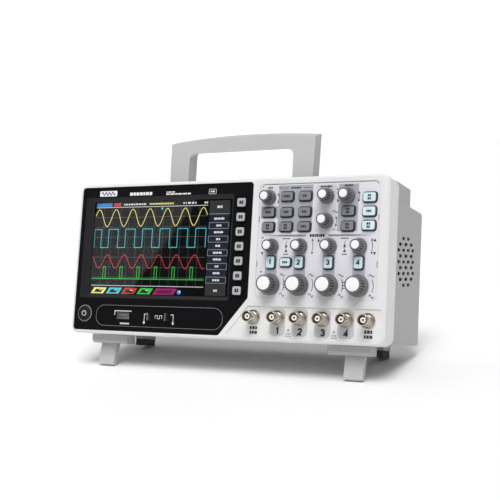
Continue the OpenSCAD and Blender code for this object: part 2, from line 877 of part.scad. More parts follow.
// Leg of the right side; its hinge pins are moulded on
module leg() {
    pin_half = leg_w / 2 + hinge_pin_len;
    color("#d2d2d2") standing() {
        rail(leg_x - leg_w / 2, leg_x + leg_w / 2)
            translate([hinge_y, hinge_z])
                rotate(-leg_lean)
                    hull() {
                        circle(r = leg_half + 0.2);
                        for (side = [-1, 1]) translate([side * tip_half, -leg_len]) circle(r = tip_r);
                    }
        bar_x(hinge_y, hinge_z, hinge_pin_r, leg_x - pin_half, leg_x + pin_half);
    }
}

module leg_right() {
    leg();
}

module leg_left() {
    mirror([1, 0, 0]) leg();
}

// Knob with its white cap and its steel shaft; size is base, nose and cap diameters, and length
module knob(place, size) {
    base = size[0] / 2;
    nose = size[1] / 2;
    length = size[3];
    color("#6a6a6c") standing() translate([place[0], 0, place[1]]) {
        rotate([90, 0, 0])
            difference() {
                rotate_extrude()
                    polygon([
                        [0, knob_gap],
                        [base, knob_gap],
                        [base, knob_gap + skirt_t],
                        [base - 0.5, knob_gap + skirt_t + 1],
                        [nose + 1, knob_gap + skirt_t + skirt_dome],
                        [nose + 0.4, length - 0.8],
                        [nose, length],
                        [0, length]
                    ]);
                translate([0, 0, length - cap_depth]) cylinder(d = size[2], h = cap_depth + 1);
                translate([0, 0, knob_gap - 1]) cylinder(r = shaft_r + 0.02, h = shaft_socket + 1);
            }
        rotate([90, 0, 0])
            translate([0, 0, length - cap_depth + 0.05])
                cylinder(d = size[2] - 0.1, h = cap_depth + 0.4);
        bar_y(0, 0, shaft_r, 0.1 - knob_gap - shaft_socket, shaft_in);
    }
}

// Key cap with the flange that holds it behind the plate
module key(place, size) {
    color("#a0a0a8") standing() translate([place[0], 0, place[1]]) {
        slab(key_front, key_back) rounded(size, key_r);
        slab(key_back - eps, key_back + flange_t) rounded(size + [2, 2] * flange_rim, key_r);
    }
}

module power_button() {
    color("#3a3a3c") standing() {
        bar_y(power_x, power_z, power_r, button_front, key_back + eps);
        bar_y(power_x, power_z, power_r + flange_rim, key_back, key_back + flange_t);
    }
}

front_bezel();
screen_fascia();
display_window();
lcd_module();
control_overlay();
rear_shell();
bnc_shells();
bnc_cores();
front_ports();
keypad_mat();
front_board();
main_board();
power_supply();
fan_frame();
fan_rotor();
mains_inlet();
rear_ports();
rear_feet();
case_screws();
carry_handle();
leg_left();
leg_right();

small_names = [
    "knob_general", "knob_h_position", "knob_h_scale", "knob_trigger",
    "knob_position_1", "knob_position_2", "knob_position_3", "knob_position_4"
];
for (i = [0:len(small_names) - 1])
    knob(small_places[i], small_knob);
for (i = [0:3])
    knob(large_places[i], large_knob);

for (i = [0:6])
    key([soft_x, soft_z + (6 - i) * soft_pitch], soft_size);
for (i = [0:7])
    key(menu_places[i], menu_size);
for (i = [0:3])
    key([channel_x + i * channel_pitch, channel_key_z], channel_size);
key([trigger_x, row_z[1]], menu_size);  // key_trigger_menu
key([trigger_x, row_z[2]], menu_size);  // key_force_trigger
key([run_x, run_z[0]], menu_size);  // key_run
key([run_x, run_z[1]], menu_size);  // key_single
key([run_x, run_z[2]], menu_size);  // key_auto
key([math_x, channel_key_z], math_size);  // key_math
power_button();
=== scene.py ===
"""Bench oscilloscope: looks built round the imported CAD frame.

Detail is modelled in body axes, in millimetres: x to the right, y towards the back, z up, zero at the
middle of the bezel's front bottom edge. BODY turns body millimetres into the frame's metres.
"""

import json
import math

import bmesh
import bpy
from mathutils import Matrix, Vector


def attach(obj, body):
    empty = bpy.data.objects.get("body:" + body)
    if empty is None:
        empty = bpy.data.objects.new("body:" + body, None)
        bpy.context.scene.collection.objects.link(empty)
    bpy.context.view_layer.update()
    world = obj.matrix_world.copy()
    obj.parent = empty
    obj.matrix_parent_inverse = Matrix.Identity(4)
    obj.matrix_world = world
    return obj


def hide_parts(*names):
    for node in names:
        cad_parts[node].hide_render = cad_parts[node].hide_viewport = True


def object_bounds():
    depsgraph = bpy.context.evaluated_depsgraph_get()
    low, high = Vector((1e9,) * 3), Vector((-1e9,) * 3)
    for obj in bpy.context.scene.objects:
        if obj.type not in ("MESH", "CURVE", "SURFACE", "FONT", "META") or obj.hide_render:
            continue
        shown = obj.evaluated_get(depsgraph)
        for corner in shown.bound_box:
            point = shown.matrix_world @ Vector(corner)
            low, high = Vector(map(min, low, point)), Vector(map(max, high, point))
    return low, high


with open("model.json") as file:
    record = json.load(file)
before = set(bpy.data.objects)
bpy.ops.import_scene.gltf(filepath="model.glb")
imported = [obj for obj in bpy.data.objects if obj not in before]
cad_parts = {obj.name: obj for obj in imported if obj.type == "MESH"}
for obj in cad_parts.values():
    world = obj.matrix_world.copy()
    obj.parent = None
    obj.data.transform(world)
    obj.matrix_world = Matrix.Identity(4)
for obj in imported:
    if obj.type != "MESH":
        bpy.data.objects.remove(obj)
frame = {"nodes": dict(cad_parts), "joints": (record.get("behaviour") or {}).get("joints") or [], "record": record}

cad_low, cad_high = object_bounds()

# ---- Body axes ---------------------------------------------------------------------------------

JOINTS = {joint["name"]: joint for joint in frame["joints"]}
NODES = frame["nodes"]
HANDLE_HINGE = Vector((0, 38.5, 135.5))
MM = 0.001
inward = Vector(JOINTS["power_button_press"]["axis"])
lean = math.atan2(-inward.z, inward.y)
hinge_at = Vector(JOINTS["carry_handle_fold"]["pos_m"])
BODY = (
    Matrix.Translation(hinge_at)
    @ Matrix.Rotation(-lean, 4, "X")
    @ Matrix.Scale(MM, 4)
    @ Matrix.Translation(-HANDLE_HINGE)
)
TO_BODY = BODY.inverted()


def body_box(node):
    """Lowest and highest corner of a CAD node in body millimetres."""
    points = [TO_BODY @ vertex.co for vertex in NODES[node].data.vertices]
    low = Vector(min(point[axis] for point in points) for axis in range(3))
    high = Vector(max(point[axis] for point in points) for axis in range(3))
    return low, high


def middle(node):
    """(x, z) of a CAD node's middle, in body millimetres."""
    low, high = body_box(node)
    return (low.x + high.x) / 2, (low.z + high.z) / 2


# Faces that the detail is set against, from the CAD part
FASCIA_FRONT = body_box("screen_fascia")[0].y
FILM_FRONT = body_box("control_overlay")[0].y
WINDOW_LOW, WINDOW_HIGH = body_box("display_window")
LCD_FRONT = body_box("lcd_module")[0].y
SHELL_BACK = body_box("rear_shell")[1].y

# Depth of the recessed plate that the BNC connectors stand on
FIELD_FRONT = 0.8
# Rim of the window that the frame covers, and the edges (left, right, bottom, top) of the glass inside it
GLASS_RIM = 2.0
GLASS = (
    WINDOW_LOW.x + GLASS_RIM, WINDOW_HIGH.x - GLASS_RIM,
    WINDOW_LOW.z + GLASS_RIM, WINDOW_HIGH.z - GLASS_RIM,
)
# Outer edges of the sloping frame round the screen
SLOPE = (-150.8, 11.6, 34.8, 131.8)
# Edges and depth of the pocket with the front ports, and where its ports stand
PILL = (-130, 7, 8.1, 27.3)
PILL_DEPTH = 1.1
USB_X = -100
PROBE_X = (-70, -51)
# Thickness of print
PRINT_T = 0.05

# ---- Materials ---------------------------------------------------------------------------------


def new_material(name):
    """Node material, with the parts that every recipe below needs."""
    material = bpy.data.materials.new(name)
    material.use_nodes = True
    nodes = material.node_tree.nodes
    return material, nodes, material.node_tree.links, nodes["Principled BSDF"]


def noise(nodes, links, scale, detail=3.0, roughness=0.55):
    """Noise over the object's own metres; scale is in cells a metre."""
    place = nodes.new("ShaderNodeTexCoord")
    texture = nodes.new("ShaderNodeTexNoise")
    texture.inputs["Scale"].default_value = scale
    texture.inputs["Detail"].default_value = detail
    texture.inputs["Roughness"].default_value = roughness
    links.new(place.outputs["Object"], texture.inputs["Vector"])
    return texture.outputs["Fac"]


def spread(nodes, links, value, low, high):
    """Maps a noise value to a range."""
    ramp = nodes.new("ShaderNodeMapRange")
    ramp.inputs["From Min"].default_value = 0.3
    ramp.inputs["From Max"].default_value = 0.7
    ramp.inputs["To Min"].default_value = low
    ramp.inputs["To Max"].default_value = high
    links.new(value, ramp.inputs["Value"])
    return ramp.outputs["Result"]


def tint(nodes, links, value, colour, change):
    """Colour that goes a little darker and lighter with a noise value."""
    mix = nodes.new("ShaderNodeMix")
    mix.data_type = "RGBA"
    mix.inputs["A"].default_value = (*[channel * (1 - change) for channel in colour], 1)
    mix.inputs["B"].default_value = (*[min(1, channel * (1 + change)) for channel in colour], 1)
    links.new(value, mix.inputs["Factor"])
    return mix.outputs["Result"]


def bump(nodes, links, shader, value, height):
    """Relief of a noise value, height in metres."""
    node = nodes.new("ShaderNodeBump")
    node.inputs["Distance"].default_value = height
    node.inputs["Strength"].default_value = 1.0
    links.new(value, node.inputs["Height"])
    links.new(node.outputs["Normal"], shader.inputs["Normal"])


# Noise cells a metre of a moulding's colour drift and of its uneven gloss
DRIFT_SCALE = 45
GLOSS_SCALE = 260
PLASTIC_IOR = 1.49
ACRYLIC_IOR = 1.45
# A wave texture at scale 1 repeats every pi / 10 of its input
WAVE_PERIOD = 0.314


def plastic(name, colour, roughness, grain=3200, height=0.000012, change=0.03, gloss=0.5, wear=0.03):
    """Moulded plastic: spark-eroded grain, slow colour drift and uneven gloss."""
    material, nodes, links, shader = new_material(name)
    slow = noise(nodes, links, DRIFT_SCALE, 2.0)
    fine = noise(nodes, links, grain, 2.0, 0.6)
    links.new(tint(nodes, links, slow, colour, change), shader.inputs["Base Color"])
    uneven = spread(nodes, links, noise(nodes, links, GLOSS_SCALE, 4.0), roughness - wear, roughness + wear)
    links.new(uneven, shader.inputs["Roughness"])
    shader.inputs["IOR"].default_value = PLASTIC_IOR
    shader.inputs["Specular IOR Level"].default_value = gloss
    bump(nodes, links, shader, fine, height)
    return material


def printed(name, colour, roughness=0.5, change=0.03):
    """Screen-printed ink or a thin label: a finer and flatter grain than moulded plastic."""
    return plastic(name, colour, roughness, grain=5200, height=0.000003, change=change)


def small_part(name, colour, roughness):
    """Plastic of keys and caps, with a finer grain."""
    return plastic(name, colour, roughness, grain=3600, height=0.000008)


METAL_GRAIN = 900
METAL_BUMP = 0.000004
METAL_DRIFT = 0.05


def metal(name, colour, roughness):
    """Plated or machined metal with fine uneven polish."""
    material, nodes, links, shader = new_material(name)
    fine = noise(nodes, links, METAL_GRAIN, 5.0, 0.7)
    drift = noise(nodes, links, 180, 3.0)
    links.new(tint(nodes, links, drift, colour, METAL_DRIFT), shader.inputs["Base Color"])
    links.new(spread(nodes, links, fine, roughness * 0.7, roughness * 1.3), shader.inputs["Roughness"])
    shader.inputs["Metallic"].default_value = 1.0
    bump(nodes, links, shader, fine, METAL_BUMP)
    return material


LCD_PITCH = 0.00019


def glow(name, colour):
    """Lit screen colour, with the faint rows of an LCD."""
    material, nodes, links, shader = new_material(name)
    place = nodes.new("ShaderNodeTexCoord")
    rows = nodes.new("ShaderNodeTexWave")
    rows.bands_direction = "X"
    rows.inputs["Scale"].default_value = WAVE_PERIOD / LCD_PITCH / 2
    links.new(place.outputs["Object"], rows.inputs["Vector"])
    lit = tint(nodes, links, rows.outputs["Fac"], colour, 0.08)
    links.new(lit, shader.inputs["Emission Color"])
    shader.inputs["Emission Strength"].default_value = 1.0
    shader.inputs["Base Color"].default_value = (*[channel * 0.15 for channel in colour], 1)
    shader.inputs["Roughness"].default_value = 0.4
    return material


def clear_window():
    """Clear acrylic window with a very light haze of dust."""
    material, nodes, links, shader = new_material("window_acrylic")
    shader.inputs["Base Color"].default_value = (0.96, 0.97, 0.98, 1)
    shader.inputs["Transmission Weight"].default_value = 1.0
    shader.inputs["IOR"].default_value = ACRYLIC_IOR
    links.new(spread(nodes, links, noise(nodes, links, 90, 4.0), 0.0, 0.012), shader.inputs["Roughness"])
    return material


def board(name, colour):
    """Circuit board under solder resist, with a weave that shows through."""
    material, nodes, links, shader = new_material(name)
    place = nodes.new("ShaderNodeTexCoord")
    weave = nodes.new("ShaderNodeTexBrick")
    weave.inputs["Scale"].default_value = 220
    weave.inputs["Mortar Size"].default_value = 0.03
    weave.inputs["Color1"].default_value = (*colour, 1)
    weave.inputs["Color2"].default_value = (*[channel * 0.8 for channel in colour], 1)
    weave.inputs["Mortar"].default_value = (*[channel * 1.6 for channel in colour], 1)
    links.new(place.outputs["Object"], weave.inputs["Vector"])
    links.new(weave.outputs["Color"], shader.inputs["Base Color"])
    shader.inputs["Roughness"].default_value = 0.3
    return material


WHITE_ABS = plastic("white_abs", (0.75, 0.75, 0.75), 0.42)
SHELL_GREY = plastic("shell_grey", (0.40, 0.40, 0.40), 0.48, grain=2600, height=0.000016)
HANDLE_GREY = plastic("handle_grey", (0.50, 0.50, 0.50), 0.46, grain=2600, height=0.000016)
LEG_GREY = plastic("leg_grey", (0.50, 0.50, 0.50), 0.45)
FASCIA_BLACK = plastic("fascia_black", (0.006, 0.006, 0.007), 0.34, grain=4200, height=0.000006, gloss=0.1)
TRIM_DARK = plastic("trim_dark", (0.017, 0.017, 0.019), 0.38, grain=4200, height=0.000006, gloss=0.2)
FILM = plastic("overlay_film", (0.71, 0.705, 0.75), 0.5, grain=5200, height=0.000004, change=0.015)
FILM_DARK = printed("print_blue_grey", (0.38, 0.39, 0.44), change=0.02)
FILM_BAND = printed("print_band", (0.42, 0.45, 0.50), change=0.02)
FILM_LIGHT = printed("print_light", (0.61, 0.61, 0.66), change=0.015)
DIVIDER_GREY = printed("print_divider", (0.22, 0.22, 0.24))
# Painted shade: dark rings round the keys stand for the slits and their shadow.
PAINTED_GAP_SHADE = printed("painted_gap_shade", (0.03, 0.03, 0.035), 0.6)
INK = printed("print_ink", (0.018, 0.018, 0.022))
INK_WHITE = printed("print_white", (0.80, 0.80, 0.80))
PRINT_BLUE = printed("print_blue", (0.02, 0.03, 0.22), 0.4)
PRINT_GREY = printed("print_grey", (0.28, 0.28, 0.28))
LABEL_SILVER = printed("label_silver", (0.62, 0.62, 0.63), 0.35)
# Painted highlight: a grey line round the port pocket stands for the light on its edge.
POCKET_HIGHLIGHT_GREY = plastic("painted_pocket_highlight", (0.22, 0.22, 0.23), 0.3, grain=4200, height=0.000004)
# Painted highlight: the power button's raised ring is coloured light grey for the light on it.
RING_HIGHLIGHT_GREY = plastic("painted_ring_highlight", (0.40, 0.40, 0.41), 0.3, grain=4200, height=0.000004)
PAD_GREY = printed("print_pad_grey", (0.52, 0.52, 0.535))
KNOB_GREY = plastic("knob_grey", (0.15, 0.15, 0.155), 0.36, grain=3600, height=0.000010)
# Painted shade: near-black faces deep in the grip's grooves, and a dark ring round each cap.
KNOB_GROOVE_SHADE = plastic("knob_groove_shade", (0.015, 0.015, 0.016), 0.42, grain=3600, height=0.000010, gloss=0.3)
CAP_WHITE = small_part("cap_white", (0.86, 0.86, 0.86), 0.34)
KEY_GREY = small_part("key_grey", (0.21, 0.215, 0.235), 0.42)
# Painted shade: near-black walls stand for the shadow on the sides of the grey keys.
KEY_WALL_SHADE = small_part("key_wall_shade", (0.014, 0.014, 0.018), 0.45)
KEY_PALE = small_part("key_pale", (0.62, 0.78, 0.83), 0.38)
# Painted shade: dark blue-grey walls stand for the shadow on the sides of the pale keys.
PALE_WALL_SHADE = small_part("pale_wall_shade", (0.07, 0.09, 0.11), 0.42)
SOFT_LIGHT = small_part("softkey_light", (0.42, 0.44, 0.46), 0.38)
BUTTON_DARK = plastic("button_dark", (0.012, 0.012, 0.014), 0.3, grain=3600, height=0.000006, gloss=0.3)
RUBBER = plastic("foot_rubber", (0.035, 0.035, 0.035), 0.75, grain=1800, height=0.00003)
KEY_RUBBER = plastic("keypad_rubber", (0.16, 0.16, 0.17), 0.7)
BLACK_ABS = plastic("inlet_black", (0.022, 0.022, 0.022), 0.42)
INSULATOR = plastic("bnc_insulator", (0.95, 0.92, 0.83), 0.4)
NICKEL = metal("bnc_nickel", (0.58, 0.53, 0.47), 0.2)
GOLD = metal("contact_gold", (0.83, 0.62, 0.28), 0.22)
TIN = metal("port_tin", (0.66, 0.66, 0.68), 0.32)
ZINC = metal("screw_zinc", (0.52, 0.52, 0.52), 0.35)
WINDOW = clear_window()
LCD_BLACK = plastic("lcd_black", (0.004, 0.004, 0.005), 0.35, grain=5200, height=0.000001, gloss=0.1)
GREEN_BOARD = board("board_green", (0.03, 0.16, 0.07))
PARTS_TAN = plastic("supply_parts", (0.35, 0.24, 0.09), 0.5)

# ---- Mesh building -----------------------------------------------------------------------------


def finish_piece(name, bm, materials, body="root", replaces=(), smooth_angle=35, bevel=0.0,
                 segments=2):
    """Turns a mesh built in body millimetres into a piece that rides on a body."""
    bm.transform(BODY)
    bmesh.ops.recalc_face_normals(bm, faces=bm.faces)
    mesh = bpy.data.meshes.new(name)
    bm.to_mesh(mesh)
    bm.free()
    for material in materials if isinstance(materials, (list, tuple)) else [materials]:
        mesh.materials.append(material)
    piece = bpy.data.objects.new(name, mesh)
    bpy.context.scene.collection.objects.link(piece)
    if bevel:
        add_bevel(piece, bevel, segments, smooth_angle)
    shade(piece, smooth_angle)
    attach(piece, body)
    if replaces:
        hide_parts(*replaces)
    return piece


def add_bevel(piece, width, segments=2, angle=35):
    bevel = piece.modifiers.new("edges", "BEVEL")
    bevel.width = width * MM
    bevel.segments = segments
    bevel.limit_method = "ANGLE"
    bevel.angle_limit = math.radians(angle)
    bevel.harden_normals = False
    bevel.use_clamp_overlap = True


def shade(piece, angle=35):
    """Smooth faces that keep their sharp edges."""
    mesh = piece.data
    mesh.polygons.foreach_set("use_smooth", [True] * len(mesh.polygons))
    bm = bmesh.new()
    bm.from_mesh(mesh)
    limit = math.radians(angle)
    for edge in bm.edges:
        if len(edge.link_faces) == 2 and edge.calc_face_angle(0) > limit:
            edge.smooth = False
    bm.to_mesh(mesh)
    bm.free()


def arc(cx, cz, radius, start, end, steps):
    """Points along an arc, angles in degrees."""
    return [
        (cx + radius * math.cos(math.radians(start + (end - start) * i / steps)),
         cz + radius * math.sin(math.radians(start + (end - start) * i / steps)))
        for i in range(steps + 1)
    ]


def rounded(cx, cz, width, height, radius, steps=6):
    """Outline of a rounded rectangle."""
    x, z = width / 2 - radius, height / 2 - radius
    corners = [(x, z, 0), (-x, z, 90), (-x, -z, 180), (x, -z, 270)]
    return [
        point
        for dx, dz, turn in corners
        for point in arc(cx + dx, cz + dz, radius, turn, turn + 90, steps)
    ]


def rounded_edges(edges, radius, grow=0.0, steps=6):
    """Rounded rectangle from its edges (left, right, bottom, top), grown on every side."""
    x0, x1, z0, z1 = edges
    return rounded((x0 + x1) / 2, (z0 + z1) / 2, x1 - x0 + 2 * grow, z1 - z0 + 2 * grow, radius, steps)


def circle(cx, cz, radius, steps=48):
    return arc(cx, cz, radius, 0, 360 * (steps - 1) / steps, steps - 1)


def prism(bm, outline, y0, y1, material=0):
    """Solid from a front outline, from y0 back to y1."""
    front = [bm.verts.new((x, y0, z)) for x, z in outline]
    back = [bm.verts.new((x, y1, z)) for x, z in outline]
    faces = [bm.faces.new(front), bm.faces.new(back[::-1])]
    count = len(outline)
    for i in range(count):
        j = (i + 1) % count
        faces.append(bm.faces.new((front[j], front[i], back[i], back[j])))
    for face in faces:
        face.material_index = material
    return faces


def ring(bm, outer, inner, y0, y1, material=0):
    """Solid between two outlines with the same number of points."""
    count = len(outer)
    loops = [
        [bm.verts.new((x, y, z)) for x, z in outline]
        for outline, y in ((outer, y0), (outer, y1), (inner, y1), (inner, y0))
    ]
    for k in range(4):
        a, b = loops[k], loops[(k + 1) % 4]
        for i in range(count):
            j = (i + 1) % count
            face = bm.faces.new((a[i], a[j], b[j], b[i]))
            face.material_index = material


def loft(bm, rings, closed=True, cap_first=False, cap_last=False, material=0, paint=None):
    """Skin through rings of points; paint(ring, step) may give each face its own material."""
    made = [[bm.verts.new(point) for point in points] for points in rings]
    count = len(made[0])
    for k, (a, b) in enumerate(zip(made, made[1:])):
        for i in range(count if closed else count - 1):
            j = (i + 1) % count
            face = bm.faces.new((a[i], a[j], b[j], b[i]))
            face.material_index = paint(k, i) if paint else material
    for wanted, points in ((cap_first, made[0]), (cap_last, made[-1])):
        if wanted:
            face = bm.faces.new(points)
            face.material_index = material
    return made


def lathe(bm, x, z, profile, steps=48, ribs=0, material=0, cap_first=True, cap_last=True, groove_shade=None):
    """Turned solid about the body's y axis at (x, z). The profile is (radius, y, rib depth) points."""
    rings = []

    # Faces deep in the grooves take the given material, which paints shade into them.
    def paint(k, i):
        grooved = len(profile[k]) > 2 and len(profile[k + 1]) > 2
        low = math.cos(ribs * 2 * math.pi * (i + 0.5) / steps) < 0.1
        return groove_shade if groove_shade is not None and grooved and low else material

    for point in profile:
        radius, y = point[0], point[1]
        depth = point[2] if len(point) > 2 else 0.0
        loop = []
        for i in range(steps):
            turn = 2 * math.pi * i / steps
            cut = depth * (0.5 - 0.5 * math.cos(ribs * turn)) ** 0.7 if ribs else 0.0
            loop.append((x + (radius - cut) * math.cos(turn), y, z + (radius - cut) * math.sin(turn)))
        rings.append(loop)
    loft(bm, rings, True, cap_first, cap_last, material, paint)


def stroke(bm, points, width, y, thickness=PRINT_T, material=0, closed=False):
    """Flat printed line of an even width along (x, z) points, standing thickness in front of y."""
    count = len(points)
    left, right = [], []
    for i, (x, z) in enumerate(points):
        before = points[i - 1] if i or closed else points[i]
        after = points[(i + 1) % count] if i < count - 1 or closed else points[i]
        first = Vector((x - before[0], z - before[1]))
        second = Vector((after[0] - x, after[1] - z))
        if first.length < 1e-9:
            first = second
        if second.length < 1e-9:
            second = first
        first.normalize()
        second.normalize()
        along = (first + second)
        along = first if along.length < 1e-6 else along.normalized()
        normal = Vector((-along.y, along.x))
        reach = width / 2 / max(0.35, abs(normal.dot(Vector((-first.y, first.x)))))
        left.append((x + normal.x * reach, z + normal.y * reach))
        right.append((x - normal.x * reach, z - normal.y * reach))
    spans = range(count if closed else count - 1)
    rails = [
        [bm.verts.new((px, py, pz)) for px, pz in side]
        for side, py in ((left, y - thickness), (right, y - thickness), (right, y), (left, y))
    ]
    for k in range(4):
        a, b = rails[k], rails[(k + 1) % 4]
        for i in spans:
            j = (i + 1) % count
            face = bm.faces.new((a[i], a[j], b[j], b[i]))
            face.material_index = material
    if not closed:
        for i in (0, count - 1):
            face = bm.faces.new([rail[i] for rail in rails])
            face.material_index = material


def patch(bm, outline, y, thickness=PRINT_T, material=0):
    """Flat printed shape in front of y."""
    return prism(bm, outline, y - thickness, y, material)


def box_outline(x0, x1, z0, z1):
    return [(x0, z0), (x1, z0), (x1, z1), (x0, z1)]


def dashes(bm, cx, cz, widths, height, gap, y, material=0, thickness=PRINT_T):
    """Row of short bars that stands for a line of small print."""
    x = cx - (sum(widths) + gap * (len(widths) - 1)) / 2
    for width in widths:
        patch(bm, box_outline(x, x + width, cz - height / 2, cz + height / 2), y, thickness, material)
        x += width + gap


# Digits 1 to 4 as strokes on a 1 x 1.6 cell, centred
DIGITS = {
    1: [[(-0.28, 0.48), (0.08, 0.8), (0.08, -0.8)]],
    2: [[(-0.45, 0.42), (-0.36, 0.66), (-0.12, 0.8), (0.18, 0.8), (0.42, 0.62), (0.46, 0.34), (0.34, 0.08),
         (-0.48, -0.76), (0.5, -0.76)]],
    3: [[(-0.45, 0.5), (-0.3, 0.72), (-0.05, 0.8), (0.22, 0.76), (0.42, 0.58), (0.42, 0.3), (0.24, 0.08),
         (-0.06, 0.04)],
        [(-0.06, 0.04), (0.28, -0.02), (0.48, -0.24), (0.46, -0.54), (0.26, -0.76), (-0.06, -0.8),
         (-0.34, -0.7), (-0.48, -0.46)]],
    4: [[(0.22, -0.8), (0.22, 0.8), (-0.5, -0.3), (0.52, -0.3)]],
}


def digit(bm, value, cx, cz, size, width, y, material=0, thickness=PRINT_T):
    """Printed channel number."""
    for points in DIGITS[value]:
        stroke(bm, [(cx + px * size, cz + pz * size) for px, pz in points], width, y, thickness, material)


def soften(node, material, width=0.4, segments=2, angle=30):
    """Better material and rounded edges for a CAD node whose shape is right."""
    piece = NODES[node]
    mesh = piece.data
    mesh.materials.clear()
    mesh.materials.append(material)
    mesh.polygons.foreach_set("material_index", [0] * len(mesh.polygons))
    if "custom_normal" in mesh.attributes:
        mesh.attributes.remove(mesh.attributes["custom_normal"])
    mesh.polygons.foreach_set("use_smooth", [True] * len(mesh.polygons))
    weld = piece.modifiers.new("weld", "WELD")
    weld.merge_threshold = 0.00001
    flat = piece.modifiers.new("flat", "DECIMATE")
    flat.decimate_type = "DISSOLVE"
    flat.angle_limit = math.radians(0.6)
    if width:
        add_bevel(piece, width, segments, angle)
    normals = piece.modifiers.new("normals", "WEIGHTED_NORMAL")
    normals.weight = 60
    normals.keep_sharp = True


# ---- Case --------------------------------------------------------------------------------------

# Node, material, width and steps of its edge rounding
KEPT_NODES = [
    ("front_bezel", WHITE_ABS, 0.45, 3),
    ("screen_fascia", FASCIA_BLACK, 0.12, 2),
    ("rear_shell", SHELL_GREY, 0.5, 3),
    ("leg_left", LEG_GREY, 0.35, 2),
    ("leg_right", LEG_GREY, 0.35, 2),
    ("rear_feet", RUBBER, 0.4, 2),
    ("case_screws", ZINC, 0.12, 2),
    ("mains_inlet", BLACK_ABS, 0.3, 2),
    ("rear_ports", TIN, 0.15, 2),
    ("front_ports", TIN, 0.08, 2),
    ("control_overlay", FILM, 0, 2),
    ("lcd_module", LCD_BLACK, 0, 2),
    ("keypad_mat", KEY_RUBBER, 0, 2),
    ("front_board", GREEN_BOARD, 0, 2),
    ("main_board", GREEN_BOARD, 0, 2),
    ("power_supply", PARTS_TAN, 0.3, 2),
    ("fan_frame", BLACK_ABS, 0.2, 2),
    ("fan_rotor", BLACK_ABS, 0.2, 2),
    ("display_window", WINDOW, 0, 2),
]
for node, material, width, segments in KEPT_NODES:
    soften(node, material, width, segments)

# Carrying handle in body millimetres, as in the CAD part
HANDLE_DEEP = 15
HANDLE_HALF = 76
HANDLE_TOP = 193.2
HANDLE_UNDER = 178.6
HANDLE_FLARE = 1.8
HANDLE_BOW = 3.7
ARM_WIDE = 21
INNER_CORNER = 6
PIN_RADIUS = 3.0
GRIP_SLOPE = math.tan(math.radians(21))


def handle_outer(z):
    """Half width over the arms at a height; they spread a little towards the grip."""
    hub = HANDLE_HALF - 1
    top = HANDLE_TOP + HANDLE_DEEP * GRIP_SLOPE
    return hub + HANDLE_FLARE * (z - HANDLE_HINGE.z) / (top - HANDLE_HINGE.z)


def handle_arch(x):
    """Height of the grip's front top edge."""
    radius = (HANDLE_HALF ** 2 + HANDLE_BOW ** 2) / (2 * HANDLE_BOW)
    return HANDLE_TOP - (radius - math.sqrt(radius ** 2 - x ** 2))


def carry_handle():
    """Handle lofted from hub to hub, its grip rising towards the back, with its two hinge pins."""
    front = HANDLE_HINGE.y - HANDLE_DEEP / 2
    back = front + HANDLE_DEEP
    rise = HANDLE_DEEP * GRIP_SLOPE
    arm_in = HANDLE_HALF - ARM_WIDE
    low = HANDLE_HINGE.z
    half = []
    for turn in range(10, 91, 10):
        z = low - HANDLE_DEEP / 2 * math.cos(math.radians(turn))
        deep = HANDLE_DEEP / 2 * math.sin(math.radians(turn))
        half.append(((handle_outer(low), z), (arm_in, z), HANDLE_HINGE.y - deep, HANDLE_HINGE.y + deep, 0))
    fillet = HANDLE_UNDER - INNER_CORNER
    half.append(((handle_outer(fillet), fillet), (arm_in, fillet), front, back, rise))
    corner = handle_arch(HANDLE_HALF)
    inner = arc(arm_in - INNER_CORNER, fillet, INNER_CORNER, 0, 90, 8)
    for i, (x, z) in enumerate(inner[1:4]):
        up = fillet + (corner - fillet) * (i + 1) / 4
        half.append(((handle_outer(up), up), (x, z), front, back, rise))
    half.append(((handle_outer(corner), corner), inner[4], front, back, rise))
    for i, (x, z) in enumerate(inner[5:]):
        out = HANDLE_HALF + (arm_in - INNER_CORNER - HANDLE_HALF) * (i + 1) / 4
        half.append(((out, handle_arch(out)), (x, z), front, back, rise))
    for i in range(1, 9):
        x = (arm_in - INNER_CORNER) * (1 - i / 8)
        half.append(((x, handle_arch(x)), (x, HANDLE_UNDER), front, back, rise))

    def section(side, outer, inside, y0, y1, lift):
        return [(side * outer[0], y0, outer[1]), (side * outer[0], y1, outer[1] + lift),
                (side * inside[0], y1, inside[1] + lift), (side * inside[0], y0, inside[1])]

    rings = [section(1, *row) for row in half]
    rings += [section(-1, *row) for row in half[-2::-1]]
    bm = bmesh.new()
    loft(bm, rings, cap_first=True, cap_last=True)
    for side in (-1, 1):
        pin = [
            [(side * (HANDLE_HALF + reach), HANDLE_HINGE.y + r * math.cos(2 * math.pi * i / 24),
              low + r * math.sin(2 * math.pi * i / 24)) for i in range(24)]
            for reach, r in ((-2, PIN_RADIUS), (3.0, PIN_RADIUS), (3.4, PIN_RADIUS - 0.4))
        ]
        loft(bm, pin, cap_first=True, cap_last=True)
    finish_piece("carry_handle_body", bm, HANDLE_GREY, "carry_handle", ["carry_handle"],
                 smooth_angle=25, bevel=1.3, segments=4)


def rating_label():
    """Rating plate on the back, with a rule and dashes in place of its print."""
    bm = bmesh.new()
    y = SHELL_BACK
    cx, cz = 60, 78
    prism(bm, rounded(cx, cz, 58, 34, 1.5), y - 0.2, y + 0.12)
    rows = [[7, 11, 5], [9, 6, 8, 4], [5, 5, 9], [12, 7]]
    for i, widths in enumerate(rows):
        dashes(bm, cx - 6, cz + 9 - 6 * i, widths, 1.5, 1.4, y + 0.2, 1, 0.08)
    stroke(bm, rounded(cx, cz, 54, 30, 1), 0.4, y + 0.2, 0.08, 1, closed=True)
    finish_piece("rating_label", bm, [LABEL_SILVER, INK])


carry_handle()
rating_label()

# ---- Screen side -------------------------------------------------------------------------------


